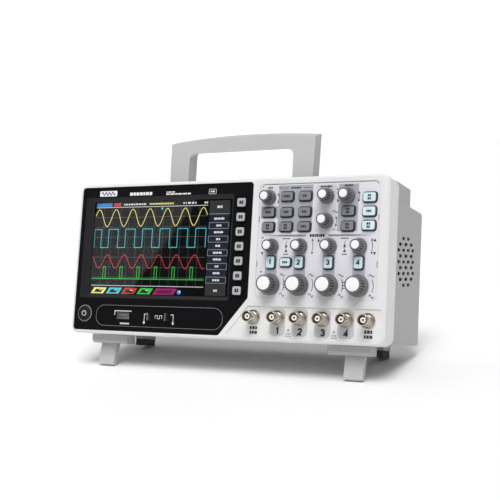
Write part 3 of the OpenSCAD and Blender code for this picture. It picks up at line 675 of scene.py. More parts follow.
def frame_trim():
    """Dark sloping frame that runs from the fascia's face back to the window."""
    front, back = FASCIA_FRONT - 0.06, WINDOW_LOW.y - 0.12
    bm = bmesh.new()
    profile = [
        (SLOPE, 1.5, 0.5, front + 0.1),
        (SLOPE, 1.5, 0.3, front),
        (SLOPE, 1.5, -0.2, front),
        (GLASS, 1.2, 0.2, back - 0.05),
        (GLASS, 1.2, -0.1, back),
        (GLASS, 1.2, -0.1, back + 0.1),
        (GLASS, 1.2, 0.6, back + 0.1),
    ]
    rings = [
        [(x, y, z) for x, z in rounded_edges(edges, radius + grow, grow)]
        for edges, radius, grow, y in profile
    ]
    loft(bm, rings + rings[:1])
    finish_piece("screen_frame_trim", bm, TRIM_DARK)


def fascia_prints():
    """Generic marks along the top of the fascia, and round the ports below the screen."""
    bm = bmesh.new()
    y = FASCIA_FRONT
    patch(bm, rounded(-126, 135.9, 20, 5.4, 0.8), y, material=1)
    wave = [(-134 + 0.5 * i, 135.9 + 1.5 * math.sin(math.pi * i / 4)) for i in range(33)]
    stroke(bm, wave, 0.9, y - PRINT_T, material=2)
    dashes(bm, -88.5, 134.8, [3.2, 2.6, 3.4, 3.0, 2.2, 3.4, 3.0], 3.0, 0.7, y, 0)
    dashes(bm, -55.5, 135.6, [1.2, 3.6, 3.2], 1.0, 0.6, y, 0)
    dashes(bm, -47, 133.6, [3.4, 5.0, 2.6, 4.2, 4.6, 3.2], 1.3, 0.7, y, 0)
    stroke(bm, rounded(-10.5, 134.8, 7.6, 4.4, 0.8), 0.35, y, material=0, closed=True)
    dashes(bm, -10.5, 134.8, [1.6, 2.2], 1.5, 0.5, y, 0)

    pill_z = (PILL[2] + PILL[3]) / 2
    floor = y + PILL_DEPTH
    dashes(bm, USB_X + 2.2, pill_z - 7.2, [1.6, 1.4, 1.4, 0.9, 1.6, 1.2], 1.4, 0.4, floor)
    stroke(bm, [(USB_X - 9.6, pill_z + 0.6), (USB_X - 9.6, pill_z + 4.6), (USB_X + 9.2, pill_z + 4.6)], 0.7,
           floor, material=0)
    left, right = PROBE_X
    for x, way in ((left, -1), (right, 1)):
        hook = [(x + way * 3.2, pill_z + 2.4), (x + way * 6.2, pill_z + 2.4), (x + way * 6.2, pill_z - 4.8)]
        stroke(bm, hook, 0.55, floor, material=0)
        tip = x + way * 6.2
        patch(bm, [(tip - 1.3, pill_z - 4.8), (tip + 1.3, pill_z - 4.8), (tip, pill_z - 7.2)], floor)
    pulse = [(-6, 0), (-6, 3), (-3.6, 3), (-3.6, 0), (-1.2, 0), (-1.2, 3), (1.2, 3), (1.2, 0)]
    signal = [((left + right) / 2 + dx + 2.2, pill_z - 1.6 + dz) for dx, dz in pulse]
    stroke(bm, signal, 0.4, floor, material=0)
    finish_piece("fascia_prints", bm, [INK_WHITE, CAP_WHITE, PRINT_BLUE])

    # Grey line round the pocket's edge: painted highlight.
    bm = bmesh.new()
    rim = rounded_edges(PILL, 9, 0.15, steps=12)
    stroke(bm, rim, 0.4, y + 0.02, 0.1, closed=True)
    finish_piece("port_pocket_highlight", bm, POCKET_HIGHLIGHT_GREY)


def power_button():
    """Round button with a dished face and the standby symbol, in a raised ring painted light grey as its
    highlight.
    """
    x, z = middle("power_button")
    low, high = body_box("power_button")
    front = low.y
    bm = bmesh.new()
    radius = 6.9
    lathe(bm, x, z, [
        (2.4, front + 0.45), (5.4, front + 0.15), (radius - 0.5, front), (radius, front + 0.5),
        (radius, high.y - 1.2), (radius + 1.4, high.y - 1.2), (radius + 1.4, high.y),
    ], 64, material=0)
    face = front + 0.42
    symbol = arc(x, z, 2.3, 60, -240, 24)
    stroke(bm, symbol, 0.5, face, 0.12, 1)
    stroke(bm, [(x, z + 0.9), (x, z + 3.0)], 0.5, face, 0.2, 1)
    finish_piece("power_button_cap", bm, [BUTTON_DARK, INK_WHITE], "power_button",
                 ["power_button"])
    # Raised ring round the button, painted light grey as its highlight.
    bm = bmesh.new()
    rings = [(radius + 0.35, 0.1), (radius + 0.5, -0.15), (radius + 1.0, -0.15), (radius + 1.15, 0.1)]
    loops = [[(px, FASCIA_FRONT + y, pz) for px, pz in circle(x, z, r, 64)] for r, y in rings]
    loft(bm, loops + loops[:1])
    finish_piece("power_button_ring", bm, RING_HIGHLIGHT_GREY)


# Screen layout in body millimetres, on the face of the LCD
PICTURE_Y = LCD_FRONT + 0.45
TRACE_LIFT = 0.05
LIT_T = 0.03
DIVISION = 9.7
TRACE_X = (-141.5, -16.6)
TRACE_Z = (46.6, 122.6)
MENU_X = (-14.6, 6.6)
PERIOD = 19.4


def sine_points(first_peak, centre, swing):
    """Sine trace across the grid, with a peak at first_peak."""
    steps = 16
    start, end = TRACE_X
    count = int((end - start) / PERIOD * steps)
    return [
        (start + i * PERIOD / steps,
         centre + swing * math.cos(2 * math.pi * (start + i * PERIOD / steps - first_peak) / PERIOD))
        for i in range(count + 1)
    ]


def square_points(first_rise, low, high, duty):
    """Square trace across the grid; duty is the part of a period that is high."""
    points = []
    x = first_rise
    while x < TRACE_X[1]:
        rise, fall = max(x, TRACE_X[0]), min(x + duty * PERIOD, TRACE_X[1])
        if fall > TRACE_X[0]:
            points += [(rise, low), (rise, high), (fall, high), (fall, low)]
        x += PERIOD
    return [point for i, point in enumerate(points) if i == 0 or point != points[i - 1]]


# Lit colours in the order of their numbers
GRID, YELLOW, CYAN, RED, GREEN, WHITE, BLUE, MAGENTA, BLACK, WINE, NAVY, GREY, LINE = range(13)
SCREEN_COLOURS = {
    "grid": (0.085, 0.085, 0.095),
    "trace_yellow": (0.92, 0.86, 0.24),
    "trace_cyan": (0.06, 0.62, 0.66),
    "trace_red": (0.60, 0.035, 0.03),
    "trace_green": (0.03, 0.56, 0.05),
    "screen_white": (0.75, 0.76, 0.78),
    "screen_blue": (0.03, 0.25, 0.62),
    "screen_magenta": (0.36, 0.01, 0.13),
    "screen_black": (0.01, 0.01, 0.01),
    "screen_wine": (0.12, 0.004, 0.045),
    "menu_navy": (0.006, 0.007, 0.017),
    "menu_grey": (0.026, 0.026, 0.026),
    "menu_line": (0.33, 0.35, 0.40),
}


def screen_picture():
    """Four traces, their grid, a status row, channel tabs and a menu column."""
    y = PICTURE_Y
    bm = bmesh.new()
    x0, x1 = TRACE_X
    z0, z1 = TRACE_Z
    trace = y - TRACE_LIFT

    def line(points, width, colour, closed=False):
        stroke(bm, points, width, trace, LIT_T, colour, closed)

    def row(x, z, widths, height, gap, colour):
        dashes(bm, x, z, widths, height, gap, trace, colour, LIT_T)

    columns = int((x1 - x0) / DIVISION)
    for i in range(1, columns + 1):
        stroke(bm, [(x0 + i * DIVISION, z0), (x0 + i * DIVISION, z1)], 0.26, y, 0.02, GRID)
    for i in range(1, 8):
        z = z1 - i * DIVISION
        stroke(bm, [(x0, z), (x1, z)], 0.4 if i % 2 else 0.26, y, 0.02, GRID)

    line(sine_points(-137.4, 112.4, 8.4), 0.62, YELLOW)
    line(square_points(-144.4, 83.4, 101.3, 0.56), 0.62, CYAN)
    line(sine_points(-124.6, 69.9, 6.6), 0.62, RED)
    line(square_points(-128.6, 53.2, 64.8, 0.14), 0.62, GREEN)
    line([(x0, 53.2), (x1, 53.2)], 0.7, GREEN)
    for z, colour in ((113, YELLOW), (85, CYAN), (71, RED), (58, GREEN)):
        patch(bm, [(x0 - 2.2, z + 1.3), (x0, z), (x0 - 2.2, z - 1.3)], trace, 0.03, colour)
    patch(bm, [(-67.6, 121.6), (-64.4, 121.6), (-66, 119)], trace, 0.03, CYAN)

    top, bottom = z1 + 0.2, z0
    line([(x0, top), (x1, top)], 0.5, WHITE)
    line([(x0 - 1, bottom), (x1, bottom)], 0.5, WHITE)
    status = 125.4
    patch(bm, box_outline(-141, -123.2, status - 1.9, status + 1.9), trace, 0.02, BLUE)
    patch(bm, box_outline(-121.4, -113, status - 1.6, status + 1.6), trace, 0.02, RED)
    row(-97, status, [1.0, 2.6, 1.8, 3.0, 1.4, 2.4, 2.2, 1.6, 2.8], 1.5, 0.8, WHITE)
    row(-67, status, [1.1] * 16, 1.5, 0.6, YELLOW)
    row(-36, status, [1.6, 0.8, 3.0, 2.4, 1.2], 1.6, 1.3, WHITE)
    row(-18.6, status, [1.4, 1.6], 1.6, 0.6, YELLOW)

    tab_low, tab_high = 38.4, 44.6
    for i, colour in enumerate((YELLOW, CYAN, RED, GREEN, MAGENTA)):
        left = -141.5 + 17.6 * i
        width = 27 if colour == MAGENTA else 18.6
        lean_x = 4.2
        shape = [(left, tab_low), (left + width - lean_x, tab_low), (left + width, tab_high),
                 (left + lean_x, tab_high)]
        patch(bm, shape, trace - 0.01 * i, 0.02, colour)
        fill = [(left + 3.6, tab_low + 1.5), (left + width - 6.4, tab_low + 1.5),
                (left + width - 3.6, tab_high - 1.5), (left + 6.4, tab_high - 1.5)]
        patch(bm, fill, trace - 0.02 - 0.01 * i, 0.02, BLACK if colour != MAGENTA else WINE)
        if colour != MAGENTA:
            dashes(bm, left + width / 2 + 2.6, tab_high - 2.2, [1.2, 1.6], 1.0, 0.5,
                   trace - 0.04 - 0.01 * i, WHITE, 0.02)
    patch(bm, circle(-42, 41.4, 2.2, 20), trace, 0.03, BLUE)
    patch(bm, circle(-41.4, 41.8, 0.9, 12), trace - 0.03, 0.03, WHITE)

    m0, m1 = MENU_X
    patch(bm, box_outline(m0, m1, 36.2, 127.6), y, 0.02, NAVY)
    for low, high in ((114.6, 127.0), (36.8, 49.4)):
        patch(bm, box_outline(m0, m1, low, high), y - 0.02, 0.02, GREY)
    line([(m0, 114.4), (m1, 114.4)], 0.5, LINE)
    row((m0 + m1) / 2, 121, [2.6, 2.0], 2.2, 0.6, WHITE)
    row((m0 + m1) / 2, 43.6, [1.4, 1.8], 1.8, 0.5, WHITE)
    rows = [([3.4, 2.6, 3.2], [2.4, 2.0]), ([2.8, 1.8, 3.6], [2.2, 1.2]), ([1.8, 2.4], [2.8, 2.2, 2.8]),
            ([2.6, 1.8, 2.4], [1.2, 2.0]), ([3.2, 3.0], [1.8, 2.2, 1.8])]
    for i, (label, value) in enumerate(rows):
        z = 103.6 - 12.6 * i
        line(rounded((m0 + m1) / 2, z, m1 - m0 - 0.8, 5.6, 0.4, 2), 0.4, LINE, True)
        row((m0 + m1) / 2, z, value, 1.8, 0.6, WHITE)
        row((m0 + m1) / 2, z + 6.4, label, 1.8, 0.6, WHITE)
    finish_piece("screen_picture", bm, [glow(name, colour) for name, colour in SCREEN_COLOURS.items()])


frame_trim()
fascia_prints()
power_button()
screen_picture()

# ---- Keys and knobs ----------------------------------------------------------------------------


# Depth below a key's face where the walls painted near-black as shade start, and how far its hidden flange reaches
CROWN_EDGE = 0.1
KEY_FLANGE = 1.5
KEY_FLANGE_DEEP = 1.2


def key_cap(node, face, side, legend, number=None, tall=2.0):
    """Key with a crowned face, walls painted near-black as shade, and a generic legend."""
    low, high = body_box(node)
    cx, cz = middle(node)
    width, height = high.x - low.x - 2 * KEY_FLANGE, high.z - low.z - 2 * KEY_FLANGE
    front = low.y
    bm = bmesh.new()
    layers = [
        (0.0, high.y - KEY_FLANGE_DEEP), (0.0, front + 1.0), (-0.12, front + 0.55), (-0.45, front + 0.18),
        (-0.95, front), (-2.2, front + 0.08),
    ]
    rings = [
        [(x, y, z) for x, z in rounded(cx, cz, width + 2 * grow, height + 2 * grow, max(0.5, 2 + grow), 6)]
        for grow, y in layers
    ]
    loft(bm, rings, cap_first=True, cap_last=True)
    # Faces behind the crown take the wall material, painted near-black as shade.
    for face_ in bm.faces:
        if min(vertex.co.y for vertex in face_.verts) > front + CROWN_EDGE:
            face_.material_index = 1
    flange = rounded(cx, cz, width + 2 * KEY_FLANGE, height + 2 * KEY_FLANGE, 2)
    prism(bm, flange, high.y - KEY_FLANGE_DEEP, high.y, 1)
    face_y = front + 0.03
    if number:
        digit(bm, number, cx, cz, 2.2, 1.1, face_y, 2, 0.06)
    pitch = tall + 0.7
    for row, widths in enumerate(legend):
        z = cz + (len(legend) - 1) * pitch / 2 - row * pitch
        dashes(bm, cx, z, widths, tall, 0.35, face_y, 2, 0.06)
    finish_piece(node + "_cap", bm, [face, side, INK], node, [node], smooth_angle=50)


def knob(node, ribs, nose, cap):
    """Fluted grip on a domed skirt with painted shade in its grooves, a light cap in a ring of painted shade, and
    its steel shaft.
    """
    low, high = body_box(node)
    cx, cz = middle(node)
    base = (high.x - low.x) / 2
    tip = low.y + 0.4
    heel = -0.5
    flute = 0.085 * nose + 0.1
    bm = bmesh.new()
    # Material 3 paints shade into the grooves between the ribs.
    lathe(bm, cx, cz, [
        (3.2, heel), (base - 0.25, heel), (base, heel - 0.25), (base, heel - 1.5), (base - 0.25, heel - 2.0),
        (base - 0.9, heel - 3.0), (nose + 1.25, heel - 4.0), (nose + 0.95, heel - 4.5),
        (nose + 0.85, heel - 4.9, flute), (nose + 0.35, tip + 1.6, flute),
        (nose + 0.2, tip + 0.9, flute * 0.6),
        (nose, tip + 0.4), (nose - 0.15, tip + 0.1), (nose - 0.4, tip), (cap + 0.3, tip),
        (cap + 0.1, tip + 0.25), (cap + 0.1, tip + 0.9),
    ], ribs * 8, ribs, 0, groove_shade=3)
    lathe(bm, cx, cz, [
        (cap, tip + 0.8), (cap, tip + 0.1), (cap - 0.12, tip - 0.12), (cap - 0.5, tip - 0.3),
        (cap * 0.5, tip - 0.38), (0.3, tip - 0.4),
    ], 64, material=1, cap_first=False)
    # Dark ring round the cap: painted shade for the shadow in the gap.
    lathe(bm, cx, cz, [
        (cap + 0.05, tip + 0.3), (cap + 0.1, tip - 0.04), (cap + 0.5, tip - 0.04), (cap + 0.55, tip + 0.3),
        (cap + 0.05, tip + 0.3),
    ], 64, material=3, cap_first=False, cap_last=False)
    lathe(bm, cx, cz, [(3, heel + 0.1), (3, high.y - 0.4), (2.6, high.y)], 32, material=2)
    finish_piece(node + "_grip", bm, [KNOB_GREY, CAP_WHITE, ZINC, KNOB_GROOVE_SHADE], node, [node],
                 smooth_angle=48)


# Widths of the dashes that stand for each key's legend, row by row
MENU_LEGENDS = [[[1.3, 1.0, 1.6, 1.0]], [[1.4, 1.6]], [[1.6, 1.2, 1.4]], [[1.0, 1.8, 1.2]], [[1.5, 1.1, 0.9]],
                [[1.6, 1.4], [1.2, 1.0]], [[1.2, 1.3], [1.5, 1.1]], [[1.3, 1.6, 1.0]]]
for i, legend in enumerate(MENU_LEGENDS):
    key_cap(f"key_menu_{i + 1}", KEY_GREY, KEY_WALL_SHADE, legend)
TRIGGER_LEGENDS = {
    "key_trigger_menu": [[1.4, 1.2], [1.7, 1.0]],
    "key_force_trigger": [[1.8, 1.2], [1.3, 1.3]],
}
for node, legend in TRIGGER_LEGENDS.items():
    key_cap(node, KEY_GREY, KEY_WALL_SHADE, legend)
PALE_LEGENDS = {
    "key_run": [[1.2, 1.2], [1.5, 1.1]],
    "key_single": [[1.1, 1.6, 1.0]],
    "key_auto": [[1.6, 1.2], [1.2, 1.3]],
    "key_math": [[1.5, 1.1, 1.4]],
}
for node, legend in PALE_LEGENDS.items():
    key_cap(node, KEY_PALE, PALE_WALL_SHADE, legend)
for i in range(4):
    key_cap(f"key_channel_{i + 1}", KEY_PALE, PALE_WALL_SHADE, [], i + 1)
for i in range(7):
    key_cap(f"softkey_{i + 1}", SOFT_LIGHT, KEY_WALL_SHADE, [[1.9, 1.7]], tall=3.2)

SMALL_KNOBS = ["knob_general", "knob_h_position", "knob_h_scale", "knob_trigger"]
SMALL_KNOBS += [f"knob_position_{i + 1}" for i in range(4)]
LARGE_KNOBS = [f"knob_scale_{i + 1}" for i in range(4)]
for node in SMALL_KNOBS:
    knob(node, 15, 4.8, 3.7)
for node in LARGE_KNOBS:
    knob(node, 20, 7.2, 6.0)

# ---- Printed control panel ---------------------------------------------------------------------


def triangle(bm, cx, cz, size, way, y, material):
    """Small arrow head; way is the angle it points to, in degrees."""
    points = [(cx + size * math.cos(math.radians(way + turn)), cz + size * math.sin(math.radians(way + turn)))
              for turn in (0, 130, 230)]
    patch(bm, points, y, material=material)


def ripple(bm, cx, cz, width, height, y, material):
    """One period of a small sine."""
    points = [(cx - width / 2 + width * i / 12, cz + height / 2 * math.sin(2 * math.pi * i / 12))
              for i in range(13)]
    stroke(bm, points, 0.62, y, material=material)


# Numbers of the overlay's printed materials
FIELD, BAND, PALE_FIELD, MARK, RULE = range(5)


def overlay_prints():
    """Fields, rules, dashes and arrows printed on the control side's film."""
    film, ink = FILM_FRONT, FILM_FRONT - PRINT_T
    bm = bmesh.new()

    def line(points, width):
        stroke(bm, points, width, ink, material=MARK)

    def row(x, z, widths, height, gap):
        dashes(bm, x, z, widths, height, gap, ink, MARK)

    def arrow(x, z, size, way):
        triangle(bm, x, z, size, way, ink, MARK)

    for edges in ((57, 89.6, 96.5, 138), (40.4, 57, 108.6, 119.5), (113.4, 131.5, 96.4, 137.5)):
        patch(bm, box_outline(*edges), film, material=FIELD)
    patch(bm, box_outline(92.5, 111.4, 96.3, 137.3), film, material=PALE_FIELD)
    for i in range(4):
        x = middle(f"knob_position_{i + 1}")[0]
        patch(bm, box_outline(x - 5.6, x + 5.6, 50, 83), film, material=BAND)
    line([(41, 136.6), (41.6, 138.6), (43, 139.2), (146.4, 139.2), (148.2, 138.4), (149, 136.8)], 0.45)

    row(48.4, 136.2, [1.4, 1.2, 0.8], 1.5, 0.4)
    row(73.3, 135.6, [2.0, 1.6, 2.4, 1.4], 1.5, 0.5)
    for x in (62.5, 84):
        line([(x - 3.6, 135.6), (x + 3.6, 135.6)], 0.4)
    row(101.6, 135.8, [2.2, 1.3, 1.6, 2.4, 1.4], 1.6, 0.4)
    row(122.4, 136.2, [2.0, 1.4, 1.8, 1.2], 1.6, 0.4)
    divider = 93
    reach = 0.75
    for tip, blunt in ((44.4, 84.5), (146, 105.5)):
        centre = (tip + blunt) / 2
        shape = [(tip, divider), (centre, divider + reach), (blunt, divider + reach),
                 (blunt, divider - reach), (centre, divider - reach)]
        patch(bm, shape, ink, material=RULE)
    row(95, divider, [1.9, 1.7, 1.4, 1.5, 1.1, 1.9, 1.5], 2.4, 0.45)

    for x, z in ((38.9, 108), (150.2, 108), (38.9, 68), (150.2, 68)):
        line([(x, z - 2.6), (x, z + 2.6)], 0.5)
    for x, z in ((57.6, 136.2), (112.2, 133.2), (43.2, 61.0), (43.2, 91.4)):
        patch(bm, circle(x, z, 0.75, 12), ink, material=MARK)
    for x, z in ((56.6, 124.6), (112.6, 124.4), (112.0, 103.0), (131.8, 124.4)):
        line(arc(x - 9, z + 3.2, 9.6, -22, 12, 8), 0.5)
        arrow(x, z - 1.6, 1.4, 250)
        arrow(x, z + 5.4, 1.3, 110)
    ripple(bm, 110.6, 113.6, 5.2, 1.8, ink, MARK)
    line([(108.6, 98.2), (113.2, 98.2)], 0.4)
    row(66.2, 90.4, [1.6, 1.4, 1.0, 1.5], 1.0, 0.4)
    row(120.6, 90.4, [1.6, 1.4, 1.0, 1.5], 1.0, 0.4)
    for near, far in ((66.4, 92), (120.8, 146)):
        line(arc(near + 9.6, 83.6, 10.2, 150, 208, 8), 0.4)
        arrow(near, 83.8, 1.7, 90)
        arrow(near, 79.6, 1.7, 90)
        row(near, 76.6, [1.2, 1.0, 1.2], 1.0, 0.4)
        line(arc(far - 12.4, 83.4, 12, -20, 20, 8), 0.5)
        arrow(far - 0.9, 89, 1.4, 100)
        arrow(far - 0.9, 77.8, 1.4, 260)
    for x in (43.4, 147.6):
        arrow(x, 77.4, 1.6, 270)
    for x in (96.8, 147.6):
        arrow(x, 88.6, 1.6, 90)
    for i in range(4):
        x = middle(f"knob_scale_{i + 1}")[0]
        ripple(bm, x + 11.6, 58.4, 4.6, 2.0, ink, MARK)
        ripple(bm, x + 11.8, 41.0, 4.6, 3.0, ink, MARK)
        line(arc(x, 49.8, 13.4, -24, 24, 8), 0.5)
        if i % 2:
            for step in range(3):
                row(x - 13.2, 52.6 - 2.6 * step, [1.2, 0.9], 1.1, 0.4)
    finish_piece("overlay_prints", bm, [FILM_DARK, FILM_BAND, FILM_LIGHT, INK, DIVIDER_GREY])


def key_gap_shade():
    """Dark ring round each key on the panel, painted shade that stands for the slit and its shadow."""
    bm = bmesh.new()
    for node in NODES:
        if node.startswith("key_"):
            low, high = body_box(node)
            cx, cz = middle(node)
            w, h = high.x - low.x - 2 * KEY_FLANGE, high.z - low.z - 2 * KEY_FLANGE
            ring(bm, rounded(cx, cz, w + 1.7, h + 1.7, 2.8), rounded(cx, cz, w + 0.2, h + 0.2, 2.05),
                 FILM_FRONT - 2.2 * PRINT_T, FILM_FRONT + 0.1)
    finish_piece("key_gap_shade", bm, PAINTED_GAP_SHADE)


overlay_prints()
key_gap_shade()

# ---- BNC connectors ----------------------------------------------------------------------------

BNC_MOUNTS = [mount for mount in frame["record"]["mounts"] if mount["name"] != "auxiliary_output"]
BNC_NAMES = [mount["name"] for mount in BNC_MOUNTS]
BNC_PLACES = [TO_BODY @ Vector(mount["pos_m"]) for mount in BNC_MOUNTS]
BNC_COLUMNS = [place.x for place in BNC_PLACES]
BNC_Z = BNC_PLACES[0].z
BNC_TIP = body_box("bnc_shells")[0].y


def bnc_shell(name, x):
    """Bayonet barrel on a washer and a round nut, with two lugs."""
    tip = BNC_TIP
    bm = bmesh.new()
    lathe(bm, x, BNC_Z, [
        (5.6, 12), (5.6, 0.7), (6.4, 0.7), (6.6, 0.5), (6.6, -0.5), (6.4, -0.7), (5.9, -0.7), (5.9, -2.0),
        (5.7, -2.2), (5.1, -2.2), (5.1, -3.4), (4.9, -3.7), (4.65, -3.8), (4.65, tip + 3.2), (4.8, tip + 3.1),
        (4.8, tip + 0.5), (4.55, tip + 0.1), (4.4, tip), (4.15, tip), (4.05, tip + 0.2), (4.05, -1.6),
        (2.9, -1.4), (2.9, 12),
    ], 56, cap_first=False, cap_last=False)
    for way in (-1, 1):
        rings = []
        for reach, radius in ((4.2, 1.0), (5.45, 1.0), (5.65, 0.85), (5.7, 0.5)):
            rings.append([(x + way * reach, -9.2 + radius * math.cos(2 * math.pi * i / 20),
                           BNC_Z + radius * math.sin(2 * math.pi * i / 20)) for i in range(20)])
        loft(bm, rings, cap_first=True, cap_last=True)
    finish_piece(f"bnc_shell_{name}", bm, NICKEL, replaces=["bnc_shells"])


def bnc_core(name, x):
    """Stepped insulator with a hollow gold contact."""
    tip = BNC_TIP + 1.4
    bm = bmesh.new()
    lathe(bm, x, BNC_Z, [
        (2.8, 12), (2.8, -1.2), (2.4, -1.5), (2.4, tip + 0.2), (2.2, tip), (1.2, tip), (1.1, tip + 0.15),
        (1.1, -2),
    ], 40, material=0)
    lathe(bm, x, BNC_Z, [
        (1.05, -2), (1.05, tip + 0.55), (0.95, tip + 0.4), (0.8, tip + 0.4), (0.7, tip + 0.55), (0.7, -4),
    ], 28, material=1, cap_first=False)
    finish_piece(f"bnc_core_{name}", bm, [INSULATOR, GOLD], replaces=["bnc_cores"])


def bnc_field():
    """Grey pads with the channel numbers, and generic marks under and between the connectors."""
    bm = bmesh.new()
    y = FIELD_FRONT
    for i, x in enumerate(BNC_COLUMNS[1:5]):
        patch(bm, rounded_edges((x - 7.4, x + 7.4, 4.9, 29.2), 4.2), y, 0.1, 0)
        digit(bm, i + 1, x + 0.4, 9.3, 3.1, 1.5, y - 0.1, 1, 0.06)
    for x in (BNC_COLUMNS[0], BNC_COLUMNS[5]):
        for row, widths in enumerate(([1.9, 2.3, 1.7], [1.6, 2.1, 2.4])):
            dashes(bm, x + 0.6, 11.4 - 4.1 * row, widths, 2.6, 0.6, y, 1)
    for left in (1, 3):
        between = (BNC_COLUMNS[left] + BNC_COLUMNS[left + 1]) / 2
        triangle(bm, between, 10.4, 1.7, 90, y, 2)
        dashes(bm, between, 7.2, [1.2, 1.5, 1.2], 1.2, 0.4, y, 2)
        dashes(bm, between, 5.2, [1.0, 1.2, 1.0, 1.2], 1.1, 0.4, y, 2)
    finish_piece("bnc_field_prints", bm, [PAD_GREY, INK, PRINT_GREY])


for name, x in zip(BNC_NAMES, BNC_COLUMNS):
    bnc_shell(name, x)
    bnc_core(name, x)
bnc_field()

# ---- Camera, light and floor -------------------------------------------------------------------

# Camera in metres, in the frame
CAMERA_AT = Vector((0.3935, -0.7706, 0.2220))
AIM_AT = Vector((0.0313, -0.0411, 0.1121))
CAMERA_ROLL = math.radians(-3.87)
LENS_MM = 66.24
# Light: the way to the sun, and the room's brightness on its two sides
SUN_FROM = Vector((0.15, -0.45, 0.86))
SUN_POWER = 2.2
SUN_ANGLE = math.radians(32)
ROOM_LEFT = 0.9
ROOM_RIGHT = 0.22
# Soft boxes for the glare: distance from the window, size, how many and how bright each is
GLARE_REACH = 0.9
GLARE_WIDE = 0.15
GLARE_TALL = 1.4
GLARE_STEPS = 8
GLARE_LIGHT = 0.36
BACKDROP_LIGHT = 1.2
# Black flag: cosines of the angles where it starts and is full, and its brightness
FLAG_FROM = math.cos(math.radians(30))
FLAG_TO = math.cos(math.radians(14))
FLAG_LIGHT = 0.04


FLOOR_HALF = 6.0
FLOOR_GAP = 0.0002


def outward():
    """Direction that the window faces."""
    return (BODY.to_3x3() @ Vector((0, -1, 0))).normalized()


def mirrored_way(x, z):
    """Point on the window, and the direction in which the camera sees on from it."""
    spot = BODY @ Vector((x, WINDOW_LOW.y, z))
    sight = (spot - CAMERA_AT).normalized()
    return spot, sight - 2 * sight.dot(outward()) * outward()


def add_camera():
    """Camera at the viewing angle that the sizes were measured with."""
    data = bpy.data.cameras.new("camera")
    data.lens = LENS_MM
    data.sensor_width = 36
    camera = bpy.data.objects.new("camera", data)
    bpy.context.scene.collection.objects.link(camera)
    look = (AIM_AT - CAMERA_AT).to_track_quat("-Z", "Y").to_matrix().to_4x4()
    camera.matrix_world = Matrix.Translation(CAMERA_AT) @ look @ Matrix.Rotation(CAMERA_ROLL, 4, "Z")
    bpy.context.scene.camera = camera


def add_sun():
    """Broad soft light from above, a little in front and to the right."""
    data = bpy.data.lights.new("key", "SUN")
    data.energy = SUN_POWER
    data.angle = SUN_ANGLE
    sun = bpy.data.objects.new("key", data)
    bpy.context.scene.collection.objects.link(sun)
    sun.rotation_mode = "QUATERNION"
    sun.rotation_quaternion = SUN_FROM.to_track_quat("Z", "Y")


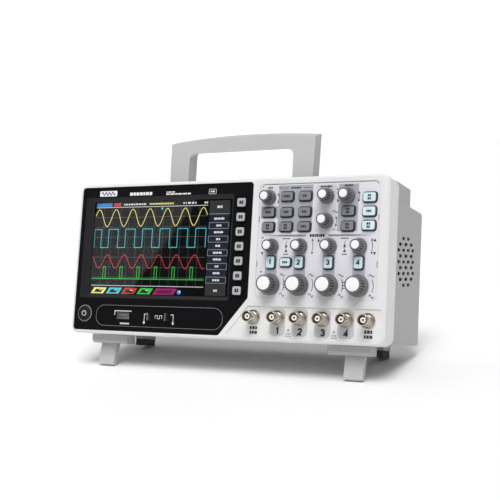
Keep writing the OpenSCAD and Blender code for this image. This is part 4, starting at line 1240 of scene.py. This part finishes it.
def add_world():
    """White room that is dimmer on the right, with a black flag that the screen mirrors.

    It is plain white where the camera looks past the floor.
    """
    world = bpy.data.worlds.new("studio")
    world.use_nodes = True
    nodes, links = world.node_tree.nodes, world.node_tree.links
    place = nodes.new("ShaderNodeTexCoord")
    split = nodes.new("ShaderNodeSeparateXYZ")
    links.new(place.outputs["Generated"], split.inputs["Vector"])
    across = nodes.new("ShaderNodeMapRange")
    across.inputs["From Min"].default_value = -1.0
    across.inputs["From Max"].default_value = 1.0
    across.inputs["To Min"].default_value = ROOM_LEFT
    across.inputs["To Max"].default_value = ROOM_RIGHT
    links.new(split.outputs["X"], across.inputs["Value"])
    towards = nodes.new("ShaderNodeVectorMath")
    towards.operation = "DOT_PRODUCT"
    towards.inputs[1].default_value = mirrored_way(-70, 82)[1]
    links.new(place.outputs["Generated"], towards.inputs[0])
    flag = nodes.new("ShaderNodeMapRange")
    flag.inputs["From Min"].default_value = FLAG_FROM
    flag.inputs["From Max"].default_value = FLAG_TO
    links.new(towards.outputs["Value"], flag.inputs["Value"])
    room = nodes.new("ShaderNodeMix")
    links.new(flag.outputs["Result"], room.inputs["Factor"])
    links.new(across.outputs["Result"], room.inputs["A"])
    room.inputs["B"].default_value = FLAG_LIGHT
    path = nodes.new("ShaderNodeLightPath")
    seen = nodes.new("ShaderNodeMix")
    seen.inputs["B"].default_value = BACKDROP_LIGHT
    links.new(path.outputs["Is Camera Ray"], seen.inputs["Factor"])
    links.new(room.outputs["Result"], seen.inputs["A"])
    links.new(seen.outputs["Result"], nodes["Background"].inputs["Strength"])
    nodes["Background"].inputs["Color"].default_value = (1, 1, 1, 1)
    bpy.context.scene.world = world


def add_glare():
    """Soft boxes that the camera sees mirrored in the window only, one edge slantwise over the screen.

    Each is wider than the last, so that their light is strongest along the shared edge and fades from there.
    """
    def mirrored(x, z):
        spot, way = mirrored_way(x, z)
        return spot + GLARE_REACH * way

    top, low, lit = mirrored(-20, 137), mirrored(-83, 56.5), mirrored(-130, 120)
    along = (top - low).normalized()
    across = lit - low
    across = (across - across.dot(along) * along).normalized()
    away = across.cross(along)
    if away.dot((top + low) / 2 - BODY @ Vector((-83, WINDOW_LOW.y, 90))) < 0:
        along, away = -along, -away
    turn = Matrix((across, along, away)).transposed().to_4x4()
    only = bpy.data.collections.new("window_only")
    only.objects.link(NODES["display_window"])
    for i in range(GLARE_STEPS):
        wide = GLARE_WIDE * (i + 1) / GLARE_STEPS
        data = bpy.data.lights.new("glare", "AREA")
        data.shape = "RECTANGLE"
        data.size = wide
        data.size_y = GLARE_TALL
        data.energy = GLARE_LIGHT * math.pi * wide * GLARE_TALL
        light = bpy.data.objects.new("glare", data)
        bpy.context.scene.collection.objects.link(light)
        light.matrix_world = Matrix.Translation((top + low) / 2 + across * wide / 2) @ turn
        light.visible_camera = False
        light.visible_diffuse = False
        light.light_linking.receiver_collection = only


def add_floor():
    """Plain pale floor under the feet."""
    mesh = bpy.data.meshes.new("floor")
    corners = [(x * FLOOR_HALF, y * FLOOR_HALF, 0) for x, y in ((-1, -1), (1, -1), (1, 1), (-1, 1))]
    mesh.from_pydata(corners, [], [(0, 1, 2, 3)])
    floor = bpy.data.objects.new("floor", mesh)
    bpy.context.scene.collection.objects.link(floor)
    floor.location.z = cad_low.z - FLOOR_GAP
    mesh.materials.append(plastic("floor_white", (0.93, 0.93, 0.93), 0.8, grain=900, height=0.00001,
                                  change=0.01))


add_camera()
add_world()
add_floor()
add_sun()
add_glare()
bpy.context.scene.view_settings.view_transform = "Standard"
